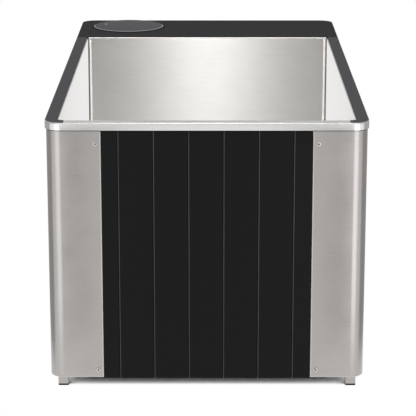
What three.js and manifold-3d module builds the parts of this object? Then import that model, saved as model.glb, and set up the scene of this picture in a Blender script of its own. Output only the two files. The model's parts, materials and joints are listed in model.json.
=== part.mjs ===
// Cold plunge tub: a stainless basin in an insulated housing, clad with black boards between
// stainless corner panels, with a filter and a chiller in a compartment behind the basin.
// Millimetres, +Z up, +Y to the rear, origin on the floor at the middle of the footprint.

import * as THREE from 'three';
import { mergeVertices } from 'three/addons/utils/BufferGeometryUtils.js';
import Module from 'manifold-3d';

const wasm = await Module();
wasm.setup();

// Driving dimensions of the whole tub
const WIDTH = 800;
const LENGTH = 1550;
const DECK_TOP = 687;
const CORNER_RADIUS = 40;
const GAP = 0.3;
const SHEET = 2;

// Feet
const PAD_HEIGHT = 4;
const FOOT_SIDE = 26;
const FOOT_ROUNDING = 3;
const FOOT_OUTER_X = 378;
const FOOT_SETBACK = 22;
const PAN_BOTTOM = 26;

// Rim, deck and housing
const BAND_HEIGHT = 20;
const BAND_EDGE_ROUNDING = 4;
const BODY_INSET = 3.5;
const DECK_THICKNESS = 4;
const SIDE_DECK_WIDTH = 30.5;
const FRONT_STRIP_DEPTH = 34;
const CAP_REACH = 8;
const REAR_DECK_DEPTH = 319;
const PANEL_BOTTOM = 28;
const PANEL_LEG = 136;
const PANEL_EDGE_BEND = 3;
const BOARD_BOTTOM = 25;
const BOARD_RECESS = 3.5;
const BOARD_THICKNESS = 10;
const BOARD_GROOVE = 2;
const TONGUE_LENGTH = 4;
const TONGUE_HALF = 1.5;
const FRONT_BOARDS = 7;
const SIDE_PITCHES = 14;
const PAN_EDGE_HEIGHT = 40;

// Basin
const BASIN_HALF_WIDTH = 366;
const BASIN_FRONT_SETBACK = 36;
const BASIN_REAR_SETBACK = 322;
const BASIN_FLOOR = 100;
const BASIN_CORNER_RADIUS = 12;
const BASIN_FLOOR_ROUNDING = 10;
const BASIN_REAR_FLANGE = 42;
const REAR_INSULATION = 35;

// Filter under the round lid
const LID_X = -250;
const LID_Y = 657;
const LID_RADIUS = 110;
const LID_FACE_RADIUS = 90;
const LID_THICKNESS = 3;
const LID_EDGE = 0.6;
const LID_PLUG_RADIUS = 78;
const LID_PLUG_DEPTH = 28;
const LID_PLUG_WALL = 8;
const LID_PLATE = 7;
const GASKET_THICKNESS = 1;
const GASKET_OVERHANG = 1.5;
const DECK_HOLE_RADIUS = 88;
const BUTTON_X = LID_X - 72;
const BUTTON_Y = LID_Y + 10;
const BUTTON_RADIUS = 5;
const BUTTON_DEPTH = 3.5;
const BUTTON_RISE = 1.5;
const BUTTON_WELL = 6;
const CANISTER_RADIUS = 84;
const CANISTER_WALL = 4;
const CANISTER_FLANGE_WIDTH = 16;
const CANISTER_FLANGE_HEIGHT = 6;
const CANISTER_BOTTOM = 350;
const CANISTER_INLET_LENGTH = 15;
const CANISTER_OUTLET_LENGTH = 18;
const CANISTER_OUTLET_Z = 420;
const CARTRIDGE_RADIUS = 62;
const CARTRIDGE_CORE_RADIUS = 25;
const CARTRIDGE_CAP_HEIGHT = 14;
const CARTRIDGE_CAP_RADIUS = 64;
const CARTRIDGE_PLEATS = 24;
const CARTRIDGE_PLEAT_DEPTH = 7;
const CARTRIDGE_BOTTOM = 372;

// Pipework and machinery behind the basin
const PIPE_RADIUS = 16;
const PIPE_BORE = 12;
const FEED_PIPE_RADIUS = 14;
const FEED_PIPE_BORE = 10;
const DRAIN_PIPE_RADIUS = 12;
const DRAIN_PIPE_BORE = 9;
const FITTING_TAIL = 67;
const FITTING_DOME = 6;
const SUCTION_FLANGE_RADIUS = 45;
const RETURN_FLANGE_RADIUS = 32;
const DRAIN_FLANGE_RADIUS = 38;
const DRAIN_TAIL_RADIUS = 13;
const DRAIN_TAIL_BORE = 10;
const DRAIN_TAIL = 16;
const SUCTION_Z = 165;
const PUMP_RADIUS = 50;
const PUMP_VOLUTE_RADIUS = 52;
const PUMP_VOLUTE_HALF = 26;
const PUMP_LENGTH = 180;
const PUMP_PORT_Y = 580;
const PUMP_FOOT = { start: 30, end: 160, halfWidth: 45 };
const EXCHANGER_X = 320;
const EXCHANGER_Y = 650;
const EXCHANGER_RADIUS = 50;
const EXCHANGER_TOP = 300;
const EXCHANGER_SHOULDER = 20;
const EXCHANGER_PORT_Y = 590;
const RETURN_Z = 250;
const FEED_Z = 110;
const FEED_RUN_Y = 518;
const COMPRESSOR_X = 120;
const COMPRESSOR_Y = 620;
const COMPRESSOR_RADIUS = 62;
const COMPRESSOR_TOP = 235;
const COMPRESSOR_FOOT_HALF = 58;
const MACHINE_PLATE = 4;
const FAN_X = 165;
const FAN_Z = 440;
const FAN_RADIUS = 100;
const FAN_HUB_RADIUS = 30;
const FAN_FRONT_Y = 667;
const FAN_DEPTH = 20;
const FAN_BLADES = 7;
const FAN_BLADE_CHORD = 34;
const FAN_BLADE_THICKNESS = 2;
const FAN_BLADE_PITCH = 26;
const FAN_CLEARANCE = 4;
const SHROUD_WALL = 3;
const SHROUD_ARM = 8;
const SHROUD_LEAD = 14;
const FAN_MOTOR_LEAD = 26;
const CONDENSER_SIDE = 250;
const CONDENSER_Y = 693;
const CONDENSER_DEPTH = 50;
const CONDENSER_FINS = 20;
const CONDENSER_FIN_DEPTH = 8;
const CONTROL_BOX = { x: [190, 340], y: [510, 580], bottom: 575, rounding: 6 };

// Drain, mains inlet and louvres at the rear
const DRAIN_Y = 380;
const DRAIN_AXIS_Z = 57;
const VALVE_Y = 712;
const VALVE_TAIL = 32;
const VALVE_TAIL_RADIUS = 15;
const VALVE_BODY_HALF = 18;
const VALVE_BODY_RADIUS = 20;
const VALVE_STEM_RADIUS = 5;
const DRAIN_OUTLET_Y = 764;
const DRAIN_OUTLET_RADIUS = 13;
const DRAIN_OUTLET_BORE = 9;
const LEVER_Z = 86;
const LEVER_LENGTH = 54;
const LEVER_HALF_WIDTH = 6;
const LEVER_THICKNESS = 4;
const LEVER_BOSS_RADIUS = 10;
const BAY_HALF_WIDTH = 60;
const BAY_BOTTOM = 33;
const BAY_TOP = 118;
const REAR_PANEL_OVERLAP = 40;
const REAR_PANEL_LIP = 8;
const INLET_X = 200;
const INLET_Z = 110;
const INLET_FLANGE = { halfWidth: 30, halfHeight: 20, depth: 2.5 };
const INLET_BODY = { halfWidth: 24, halfHeight: 14, depth: 32 };
const INLET_SOCKET = { x: [-21, 3], halfHeight: 9, depth: 16 };
const SWITCH_WELL = { x: [8, 22], halfHeight: 12 };
const SWITCH_HALF_LENGTH = 10;
const SWITCH_HALF_WIDTH = 6;
const SWITCH_DEPTH = 6;
const SWITCH_CROWN = 1.4;
const SWITCH_SINK = 1;
const SWITCH_TILT = 8;
const LOUVRE_ROWS = 14;
const LOUVRE_PITCH = 20;
const LOUVRE_WIDTH = 200;
const LOUVRE_HEIGHT = 7;
const LOUVRE_X = 120;
const LOUVRE_BOTTOM = 320;

// Screws in the front panels
const SCREW_X = 274.5;
const SCREW_HEIGHTS = { lower: 48, upper: 634 };
const SCREW_HEAD_RADIUS = 5.5;
const SCREW_FACE_RADIUS = 3.9;
const SCREW_EDGE_HEIGHT = 1;
const SCREW_HEAD_HEIGHT = 2.4;
const SCREW_SHANK_RADIUS = 2;
const SCREW_SHANK_LENGTH = 12;

// Smoothness of round shapes
const ARC_STEPS = 4;
const ROUND_SIDES = 28;
const DISC_SIDES = 48;
const PORT_SIDES = 16;
const SMALL_SIDES = 12;
const MERGE_DISTANCE = 0.001;

// Levels and faces that follow from the driving dimensions
const SIDE_X = WIDTH / 2;
const FRONT_Y = -LENGTH / 2;
const REAR_Y = LENGTH / 2;
const BAND_BOTTOM = DECK_TOP - BAND_HEIGHT;
const DECK_BOTTOM = DECK_TOP - DECK_THICKNESS;
const FLANGE_TOP = DECK_BOTTOM - GAP;
const FLANGE_BOTTOM = FLANGE_TOP - SHEET;
const PANEL_TOP = FLANGE_BOTTOM - GAP;
const BODY_X = SIDE_X - BODY_INSET;
const BODY_Y = REAR_Y - BODY_INSET;
const BODY_RADIUS = CORNER_RADIUS - BODY_INSET;
const PAN_X = BODY_X - BOARD_RECESS - BOARD_THICKNESS - GAP;
const PAN_Y = BODY_Y - BOARD_RECESS - BOARD_THICKNESS - GAP;
const PAN_FLOOR = PAN_BOTTOM + SHEET;
const MACHINE_FLOOR = PAN_FLOOR + GAP;
const CORNER_Y = FRONT_Y + CORNER_RADIUS;
const CORNER_X = SIDE_X - CORNER_RADIUS;
const STRIP_X = CORNER_X - CAP_REACH;
const BASIN_FRONT_Y = FRONT_Y + BASIN_FRONT_SETBACK;
const BASIN_REAR_Y = REAR_Y - BASIN_REAR_SETBACK;
const REAR_DECK_Y = REAR_Y - REAR_DECK_DEPTH;
const SIDE_DECK_X = SIDE_X - SIDE_DECK_WIDTH;
const REAR_PANEL_Y = BODY_Y - BOARD_RECESS;
const FITTING_END_Y = BASIN_REAR_Y + FITTING_TAIL;
const LID_UNDERSIDE = DECK_TOP + GASKET_THICKNESS + 2 * GAP;
const LID_TOP = LID_UNDERSIDE + LID_THICKNESS;
const LID_PLUG_BOTTOM = LID_UNDERSIDE - LID_PLUG_DEPTH;
const CANISTER_INLET_Z = CANISTER_BOTTOM - CANISTER_INLET_LENGTH;
const CANISTER_OUTLET_Y = LID_Y - CANISTER_RADIUS - CANISTER_OUTLET_LENGTH;
const INLET_FACE_Y = REAR_PANEL_Y + GAP;

// Materials by the colour, roughness and metalness that each surface shows
const finish = (color, roughness, metalness) => ({ color, roughness, metalness });
const FINISHES = {
  brushedSteel: finish(0xc8c8c6, 0.35, 1),
  basinSteel: finish(0xd6d6d4, 0.28, 1),
  blackBoard: finish(0x202122, 0.6, 0),
  deckBoard: finish(0x3c3d3f, 0.65, 0),
  lidGrey: finish(0x5c5e61, 0.5, 0.1),
  rubber: finish(0x141414, 0.9, 0),
  foam: finish(0xe4dcc0, 0.95, 0),
  whitePlastic: finish(0xe9e9e6, 0.45, 0),
  blackPlastic: finish(0x1b1b1c, 0.5, 0),
  blackSteel: finish(0x26282a, 0.5, 0.6),
  aluminium: finish(0xb4b7ba, 0.4, 1),
  brass: finish(0xb8913f, 0.35, 1),
  filterPaper: finish(0xf2f2ee, 0.9, 0),
};

// A named mesh with a material of its own
function piece(name, geometry, finishName) {
  const mesh = new THREE.Mesh(geometry, new THREE.MeshStandardMaterial(FINISHES[finishName]));
  mesh.name = name;
  return mesh;
}

// A closed solid for joining and cutting, without the flat triangles at a lathe's poles
function toSolid(geometry) {
  const bare = geometry.clone();
  bare.deleteAttribute('normal');
  bare.deleteAttribute('uv');
  const merged = mergeVertices(bare, MERGE_DISTANCE);
  const corners = merged.index.array;
  const triangles = [];
  for (let i = 0; i < corners.length; i += 3) {
    const [a, b, c] = [corners[i], corners[i + 1], corners[i + 2]];
    if (a !== b && b !== c && c !== a) triangles.push(a, b, c);
  }
  return new wasm.Manifold(new wasm.Mesh({
    numProp: 3,
    vertProperties: new Float32Array(merged.attributes.position.array),
    triVerts: new Uint32Array(triangles),
  }));
}

function toGeometry(solid) {
  const { vertProperties, triVerts } = solid.getMesh();
  const geometry = new THREE.BufferGeometry();
  geometry.setAttribute('position', new THREE.BufferAttribute(vertProperties, 3));
  geometry.setIndex(new THREE.BufferAttribute(triVerts, 1));
  geometry.computeVertexNormals();
  return geometry;
}

function join(...geometries) {
  const solids = geometries.map(toSolid);
  return toGeometry(solids.reduce((whole, part) => whole.add(part)));
}

function cut(geometry, ...cutters) {
  const solids = cutters.map(toSolid);
  return toGeometry(solids.reduce((whole, cutter) => whole.subtract(cutter), toSolid(geometry)));
}

function common(geometry, other) {
  return toGeometry(toSolid(geometry).intersect(toSolid(other)));
}

// A box by its lowest and highest values on each axis
function block([x0, x1], [y0, y1], [z0, z1]) {
  const box = new THREE.BoxGeometry(x1 - x0, y1 - y0, z1 - z0);
  return box.translate((x0 + x1) / 2, (y0 + y1) / 2, (z0 + z1) / 2);
}

// A plan outline raised between two heights
function prism(shape, z0, z1) {
  const options = { depth: z1 - z0, bevelEnabled: false, curveSegments: ARC_STEPS };
  return new THREE.ExtrudeGeometry(shape, options).translate(0, 0, z0);
}

// A plan outline raised between two heights, with its upper and lower edges rounded
function roundedPrism(shape, z0, z1, rounding) {
  const options = {
    depth: z1 - z0 - 2 * rounding,
    bevelEnabled: true,
    bevelThickness: rounding,
    bevelSize: rounding,
    bevelOffset: -rounding,
    bevelSegments: 3,
    curveSegments: ARC_STEPS,
  };
  return new THREE.ExtrudeGeometry(shape, options).translate(0, 0, z0 + rounding);
}

// A rectangle in plan with one radius at the front corners and one at the rear corners
function roundedRectangle([x0, x1], [y0, y1], frontRadius, rearRadius = frontRadius) {
  const shape = new THREE.Shape();
  shape.moveTo(x0 + frontRadius, y0);
  shape.lineTo(x1 - frontRadius, y0);
  if (frontRadius) shape.absarc(x1 - frontRadius, y0 + frontRadius, frontRadius, -Math.PI / 2, 0);
  shape.lineTo(x1, y1 - rearRadius);
  if (rearRadius) shape.absarc(x1 - rearRadius, y1 - rearRadius, rearRadius, 0, Math.PI / 2);
  shape.lineTo(x0 + rearRadius, y1);
  if (rearRadius) shape.absarc(x0 + rearRadius, y1 - rearRadius, rearRadius, Math.PI / 2, Math.PI);
  shape.lineTo(x0, y0 + frontRadius);
  if (frontRadius) shape.absarc(x0 + frontRadius, y0 + frontRadius, frontRadius, Math.PI, 1.5 * Math.PI);
  return shape;
}

// A plan outline with the sign of its X and Y values changed
function mirrored(shape, sx, sy) {
  return new THREE.Shape(shape.getPoints(ARC_STEPS).map(({ x, y }) => new THREE.Vector2(sx * x, sy * y)));
}

// A polygon from its corner points
function polygon(points) {
  return new THREE.Shape(points.map(([x, y]) => new THREE.Vector2(x, y)));
}

// A turned solid about the Z axis from its radius and height pairs
function turned(profile, sides = ROUND_SIDES) {
  return new THREE.LatheGeometry(profile.map(([r, z]) => new THREE.Vector2(r, z)), sides)
    .rotateX(Math.PI / 2);
}

// Round bars along each axis, from one value on that axis to another
function barZ(x, y, [z0, z1], radius, sides = ROUND_SIDES) {
  return new THREE.CylinderGeometry(radius, radius, z1 - z0, sides)
    .rotateX(Math.PI / 2)
    .translate(x, y, (z0 + z1) / 2);
}

function barY(x, [y0, y1], z, radius, sides = ROUND_SIDES) {
  return new THREE.CylinderGeometry(radius, radius, y1 - y0, sides)
    .translate(x, (y0 + y1) / 2, z);
}

function barX([x0, x1], y, z, radius, sides = ROUND_SIDES) {
  return new THREE.CylinderGeometry(radius, radius, x1 - x0, sides)
    .rotateZ(Math.PI / 2)
    .translate((x0 + x1) / 2, y, z);
}

// A hollow pipe along a smooth route
function pipe(route, radius, bore, steps) {
  const path = new THREE.CatmullRomCurve3(route.map(([x, y, z]) => new THREE.Vector3(x, y, z)));
  const section = new THREE.Shape();
  section.absarc(0, 0, radius, 0, 2 * Math.PI);
  const hole = new THREE.Path();
  hole.absarc(0, 0, bore, 0, 2 * Math.PI);
  section.holes.push(hole);
  return new THREE.ExtrudeGeometry(section, { steps, extrudePath: path, curveSegments: ARC_STEPS });
}

// The four quarters of the footprint, with the sign of each side
const QUARTERS = [
  { place: 'front_left', sx: -1, sy: -1 },
  { place: 'front_right', sx: 1, sy: -1 },
  { place: 'rear_left', sx: -1, sy: 1 },
  { place: 'rear_right', sx: 1, sy: 1 },
];

// Feet: square steel stubs on rubber pads
function feet() {
  const group = new THREE.Group();
  const half = FOOT_SIDE / 2;
  const square = roundedRectangle([-half, half], [-half, half], FOOT_ROUNDING);
  const footX = FOOT_OUTER_X - half;
  const footY = REAR_Y - FOOT_SETBACK - half;
  for (const { place, sx, sy } of QUARTERS) {
    const foot = piece(`foot_${place}`, prism(square, PAD_HEIGHT + GAP, PAN_BOTTOM - GAP), 'brushedSteel');
    const pad = piece(`pad_${place}`, prism(square, 0, PAD_HEIGHT), 'rubber');
    foot.position.set(sx * footX, sy * footY, 0);
    pad.position.set(sx * footX, sy * footY, 0);
    group.add(foot, pad);
  }
  return group;
}

// Base pan: a folded tray with turned-up edges, notched at the rear for the drain
function basePan() {
  const tray = block([-PAN_X, PAN_X], [-PAN_Y, PAN_Y], [PAN_BOTTOM, PAN_BOTTOM + PAN_EDGE_HEIGHT]);
  const inside = block(
    [-PAN_X + SHEET, PAN_X - SHEET],
    [-PAN_Y + SHEET, PAN_Y - SHEET],
    [PAN_FLOOR, PAN_FLOOR + PAN_EDGE_HEIGHT],
  );
  const notch = block([-BAY_HALF_WIDTH, BAY_HALF_WIDTH], [0, REAR_Y], [BAY_BOTTOM, DECK_TOP]);
  return piece('base_pan', cut(tray, inside, notch), 'brushedSteel');
}

// The rounded block of the basin, grown outward by an allowance
function basinBlock(allowance, top) {
  const outline = roundedRectangle(
    [-BASIN_HALF_WIDTH - allowance, BASIN_HALF_WIDTH + allowance],
    [BASIN_FRONT_Y - allowance, BASIN_REAR_Y + allowance],
    BASIN_CORNER_RADIUS + allowance,
  );
  return roundedPrism(outline, BASIN_FLOOR - allowance, top, BASIN_FLOOR_ROUNDING);
}

// Basin: folded and welded sheet with a flange that lies on the tops of the panels
function basin() {
  const flangeX = BODY_X - GAP;
  const flangeOutline = roundedRectangle(
    [-flangeX, flangeX],
    [-BODY_Y + GAP, BASIN_REAR_Y + BASIN_REAR_FLANGE],
    BODY_RADIUS,
    GAP,
  );
  const flange = prism(flangeOutline, FLANGE_BOTTOM, FLANGE_TOP);
  const wallTop = FLANGE_TOP + BASIN_FLOOR_ROUNDING;
  const below = block([-WIDTH, WIDTH], [-LENGTH, LENGTH], [0, FLANGE_TOP]);
  const shell = common(basinBlock(SHEET, wallTop), below);
  const cavity = basinBlock(0, wallTop + BASIN_FLOOR_ROUNDING);
  const clearance = PIPE_RADIUS + GAP;
  const wallHole = [BASIN_REAR_Y - SHEET, BASIN_REAR_Y + 2 * SHEET];
  const suctionHole = barY(LID_X, wallHole, SUCTION_Z, clearance);
  const returnHole = barY(EXCHANGER_X, wallHole, RETURN_Z, clearance);
  const floorHole = [BASIN_FLOOR - 2 * SHEET, BASIN_FLOOR + SHEET];
  const drainHole = barZ(0, DRAIN_Y, floorHole, DRAIN_TAIL_RADIUS + GAP);
  return piece('basin', cut(join(shell, flange), cavity, suctionHole, returnHole, drainHole), 'basinSteel');
}

// Insulation: a foam jacket round the basin, with a channel for the drain pipe
function insulation() {
  const rearY = BASIN_REAR_Y + SHEET + REAR_INSULATION;
  const foamX = PAN_X - SHEET - GAP;
  const foamFront = -PAN_Y + SHEET + GAP;
  const jacket = block([-foamX, foamX], [foamFront, rearY], [MACHINE_FLOOR, PANEL_TOP]);
  const hollow = basinBlock(SHEET + GAP, DECK_TOP + 2 * BASIN_FLOOR_ROUNDING);
  const clearance = PIPE_RADIUS + GAP;
  const rearHole = [BASIN_REAR_Y, rearY + GAP];
  const suctionHole = barY(LID_X, rearHole, SUCTION_Z, clearance);
  const returnHole = barY(EXCHANGER_X, rearHole, RETURN_Z, clearance);
  const channelX = DRAIN_TAIL_RADIUS + SHEET;
  const channel = block(
    [-channelX, channelX],
    [DRAIN_Y - channelX, rearY + GAP],
    [MACHINE_FLOOR - GAP, BASIN_FLOOR],
  );
  return piece('insulation_jacket', cut(jacket, hollow, suctionHole, returnHole, channel), 'foam');
}

// The plan outline of one corner panel: two legs round a corner, with both free edges bent in
function cornerOutline() {
  const shape = new THREE.Shape();
  const bend = PANEL_EDGE_BEND;
  const innerBend = bend - SHEET;
  const legX = BODY_X - PANEL_LEG;
  const legY = BODY_Y - PANEL_LEG;
  const centreX = BODY_X - BODY_RADIUS;
  const centreY = BODY_Y - BODY_RADIUS;
  shape.moveTo(legX, BODY_Y - bend);
  shape.absarc(legX + bend, BODY_Y - bend, bend, Math.PI, Math.PI / 2, true);
  shape.absarc(centreX, centreY, BODY_RADIUS, Math.PI / 2, 0, true);
  shape.absarc(BODY_X - bend, legY + bend, bend, 0, -Math.PI / 2, true);
  shape.absarc(BODY_X - bend, legY + bend, innerBend, -Math.PI / 2, 0);
  shape.absarc(centreX, centreY, BODY_RADIUS - SHEET, 0, Math.PI / 2);
  shape.absarc(legX + bend, BODY_Y - bend, innerBend, Math.PI / 2, Math.PI);
  return shape;
}

// Holes for the front screws, through a panel and the board behind it
function screwHoles(sx) {
  const depth = [-BODY_Y - SHEET, -BODY_Y + SCREW_SHANK_LENGTH + SHEET];
  const heights = Object.values(SCREW_HEIGHTS);
  return heights.map((z) => barY(sx * SCREW_X, depth, z, SCREW_SHANK_RADIUS + GAP, 2 * ARC_STEPS));
}

// Corner panels: brushed stainless sheet bent round each corner
function cornerPanels() {
  const group = new THREE.Group();
  for (const { place, sx, sy } of QUARTERS) {
    const wrap = prism(mirrored(cornerOutline(), sx, sy), PANEL_BOTTOM, PANEL_TOP);
    const drilled = sy < 0 ? cut(wrap, ...screwHoles(sx)) : wrap;
    group.add(piece(`corner_panel_${place}`, drilled, 'brushedSteel'));
  }
  return group;
}

// The plan section of one front board, with a tongue on its right and a groove on its left
function boardSection(pitch) {
  const face = -BODY_Y + BOARD_RECESS;
  const back = face + BOARD_THICKNESS;
  const left = -pitch / 2 + GAP;
  const right = pitch / 2 - GAP;
  const middle = (face + BOARD_GROOVE + back) / 2;
  return polygon([
    [left + BOARD_GROOVE, face],
    [right - BOARD_GROOVE, face],
    [right, face + BOARD_GROOVE],
    [right, middle - TONGUE_HALF],
    [right + TONGUE_LENGTH, middle - TONGUE_HALF],
    [right + TONGUE_LENGTH, middle + TONGUE_HALF],
    [right, middle + TONGUE_HALF],
    [right, back],
    [left, back],
    [left, middle + TONGUE_HALF + GAP],
    [left + TONGUE_LENGTH, middle + TONGUE_HALF + GAP],
    [left + TONGUE_LENGTH, middle - TONGUE_HALF - GAP],
    [left, middle - TONGUE_HALF - GAP],
    [left, face + BOARD_GROOVE],
  ]);
}

// Front boards: tongued and grooved planks, the outer two half covered by the corner panels
function frontBoards() {
  const group = new THREE.Group();
  const pitch = (2 * BODY_X - 2 * PANEL_LEG) / (FRONT_BOARDS - 1);
  const board = prism(boardSection(pitch), BOARD_BOTTOM, PANEL_TOP);
  for (let i = 0; i < FRONT_BOARDS; i += 1) {
    const offset = (i - (FRONT_BOARDS - 1) / 2) * pitch;
    const placed = board.clone().translate(offset, 0, 0);
    const outer = i === 0 || i === FRONT_BOARDS - 1;
    const drilled = outer ? cut(placed, ...screwHoles(Math.sign(offset))) : placed;
    group.add(piece(`front_board_${i + 1}`, drilled, 'blackBoard'));
  }
  return group;
}

// Side cladding: the same boards joined into one grooved panel on each side
function sideCladding() {
  const group = new THREE.Group();
  const face = BODY_X - BOARD_RECESS;
  const back = face - BOARD_THICKNESS;
  const clear = 2 * (BODY_Y - PANEL_LEG);
  const pitch = clear / SIDE_PITCHES;
  const end = clear / 2 + pitch / 2;
  const outline = [[face, -end]];
  for (let i = 0; i < SIDE_PITCHES; i += 1) {
    const y = (i - (SIDE_PITCHES - 1) / 2) * pitch;
    outline.push([face, y - BOARD_GROOVE], [face - BOARD_GROOVE, y], [face, y + BOARD_GROOVE]);
  }
  outline.push([face, end], [back, end], [back, -end]);
  const right = prism(polygon(outline), BOARD_BOTTOM, PANEL_TOP);
  group.add(piece('right_cladding', right, 'blackBoard'));
  group.add(piece('left_cladding', right.clone().rotateZ(Math.PI), 'blackBoard'));
  return group;
}

// Rear panel: louvred stainless cover with a folded top edge, a drain bay and the inlet's cut-out
function rearPanel() {
  const halfWidth = BODY_X - PANEL_LEG + REAR_PANEL_OVERLAP;
  const inside = REAR_PANEL_Y - SHEET;
  const sheet = block([-halfWidth, halfWidth], [inside, REAR_PANEL_Y], [PANEL_BOTTOM, FLANGE_TOP]);
  const lipDepth = [inside - REAR_PANEL_LIP, REAR_PANEL_Y];
  const lip = block([-halfWidth, halfWidth], lipDepth, [FLANGE_BOTTOM, FLANGE_TOP]);
  const through = [inside - SHEET, REAR_PANEL_Y + SHEET];
  const inletX = INLET_BODY.halfWidth + 2 * GAP;
  const inletZ = INLET_BODY.halfHeight + 2 * GAP;
  const cutters = [
    block([-BAY_HALF_WIDTH, BAY_HALF_WIDTH], through, [BAY_BOTTOM, BAY_TOP]),
    block([INLET_X - inletX, INLET_X + inletX], through, [INLET_Z - inletZ, INLET_Z + inletZ]),
  ];
  for (const x of [-LOUVRE_X, LOUVRE_X]) {
    for (let row = 0; row < LOUVRE_ROWS; row += 1) {
      const z = LOUVRE_BOTTOM + row * LOUVRE_PITCH;
      cutters.push(block([x - LOUVRE_WIDTH / 2, x + LOUVRE_WIDTH / 2], through, [z, z + LOUVRE_HEIGHT]));
    }
  }
  return piece('rear_panel', cut(join(sheet, lip), ...cutters), 'brushedSteel');
}

// The outline of the tub in plan, drawn in by an inset
function planOutline(inset) {
  return roundedRectangle(
    [-SIDE_X + inset, SIDE_X - inset],
    [FRONT_Y + inset, REAR_Y - inset],
    CORNER_RADIUS - inset,
  );
}

// Front rim: the raised steel edge across the front and round both front corners
function frontRim() {
  const height = DECK_TOP - BAND_BOTTOM;
  const solid = roundedPrism(planOutline(0), BAND_BOTTOM - height, DECK_TOP, BAND_EDGE_ROUNDING);
  const hollow = prism(planOutline(BODY_INSET - GAP), 0, 2 * DECK_TOP);
  const wall = cut(solid, hollow);
  const region = block([-SIDE_X, SIDE_X], [FRONT_Y, CORNER_Y], [BAND_BOTTOM, DECK_TOP]);
  const strip = block(
    [-STRIP_X, STRIP_X],
    [FRONT_Y + BODY_INSET - 2 * GAP, FRONT_Y + FRONT_STRIP_DEPTH],
    [DECK_BOTTOM, DECK_TOP],
  );
  return piece('front_rim', join(common(wall, region), strip), 'brushedSteel');
}

// Rim band: the steel edge under the deck along both sides and round the rear
function rimBand() {
  const ring = cut(
    prism(planOutline(0), BAND_BOTTOM, FLANGE_TOP),
    prism(planOutline(BODY_INSET - GAP), 0, DECK_TOP),
  );
  const region = block([-WIDTH, WIDTH], [CORNER_Y + GAP, LENGTH], [0, DECK_TOP]);
  return piece('rim_band', common(ring, region), 'brushedSteel');
}

// Deck: two side boards and the rear board with the lid's opening
function deck() {
  const group = new THREE.Group();
  const strip = [CORNER_Y + GAP, REAR_DECK_Y - GAP];
  const level = [DECK_BOTTOM, DECK_TOP];
  group.add(piece('right_deck', block([SIDE_DECK_X, SIDE_X], strip, level), 'deckBoard'));
  group.add(piece('left_deck', block([-SIDE_X, -SIDE_DECK_X], strip, level), 'deckBoard'));
  const outline = roundedRectangle([-SIDE_X, SIDE_X], [REAR_DECK_Y, REAR_Y], 0, CORNER_RADIUS);
  const opening = new THREE.Path();
  opening.absarc(LID_X, LID_Y, DECK_HOLE_RADIUS, 0, 2 * Math.PI);
  outline.holes.push(opening);
  group.add(piece('rear_deck', prism(outline, ...level), 'deckBoard'));
  return group;
}

// Corner caps: black quarter rounds inside the front rim's corners, up to the ends of its strip
function cornerCaps() {
  const group = new THREE.Group();
  const radius = CORNER_RADIUS - BODY_INSET;
  const quarter = new THREE.Shape();
  quarter.moveTo(STRIP_X + GAP, CORNER_Y);
  quarter.lineTo(STRIP_X + GAP, CORNER_Y - radius);
  quarter.absarc(CORNER_X, CORNER_Y, radius, -Math.PI / 2, 0);
  const opening = basinBlock(GAP, 2 * DECK_TOP);
  for (const [side, sx] of [['left', -1], ['right', 1]]) {
    const cap = prism(mirrored(quarter, sx, 1), DECK_BOTTOM, DECK_TOP);
    group.add(piece(`corner_cap_${side}`, cut(cap, opening), 'deckBoard'));
  }
  return group;
}

// Lid: a bevelled disc with a plug below and a well for the button
function lid() {
  const plugInner = LID_PLUG_RADIUS - LID_PLUG_WALL;
  const disc = turned([
    [0, LID_UNDERSIDE - LID_PLATE],
    [plugInner, LID_UNDERSIDE - LID_PLATE],
    [plugInner, LID_PLUG_BOTTOM],
    [LID_PLUG_RADIUS, LID_PLUG_BOTTOM],
    [LID_PLUG_RADIUS, LID_UNDERSIDE],
    [LID_RADIUS, LID_UNDERSIDE],
    [LID_RADIUS, LID_UNDERSIDE + LID_EDGE],
    [LID_FACE_RADIUS, LID_TOP],
    [0, LID_TOP],
  ], DISC_SIDES).translate(LID_X, LID_Y, 0);
  const wellDepth = [LID_TOP - BUTTON_WELL, LID_TOP + BUTTON_WELL];
  const well = barZ(BUTTON_X, BUTTON_Y, wellDepth, BUTTON_RADIUS + GAP, SMALL_SIDES);
  return piece('filter_lid', cut(disc, well), 'lidGrey');
}

// Air release button: a short pin in the lid's well
function releaseButton() {
  const height = [LID_TOP - BUTTON_DEPTH, LID_TOP + BUTTON_RISE];
  const pin = barZ(BUTTON_X, BUTTON_Y, height, BUTTON_RADIUS, SMALL_SIDES);
  return piece('air_release_button', pin, 'brushedSteel');
}

// Gasket: a flat rubber ring under the lid's edge, just wider than the lid
function gasket() {
  const outer = LID_RADIUS + GASKET_OVERHANG;
  const bottom = DECK_TOP + GAP;
  const top = bottom + GASKET_THICKNESS;
  const ring = turned([
    [DECK_HOLE_RADIUS, bottom],
    [outer, bottom],
    [outer, top],
    [DECK_HOLE_RADIUS, top],
    [DECK_HOLE_RADIUS, bottom],
  ], DISC_SIDES);
  return piece('lid_gasket', ring.translate(LID_X, LID_Y, 0), 'rubber');
}

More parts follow.
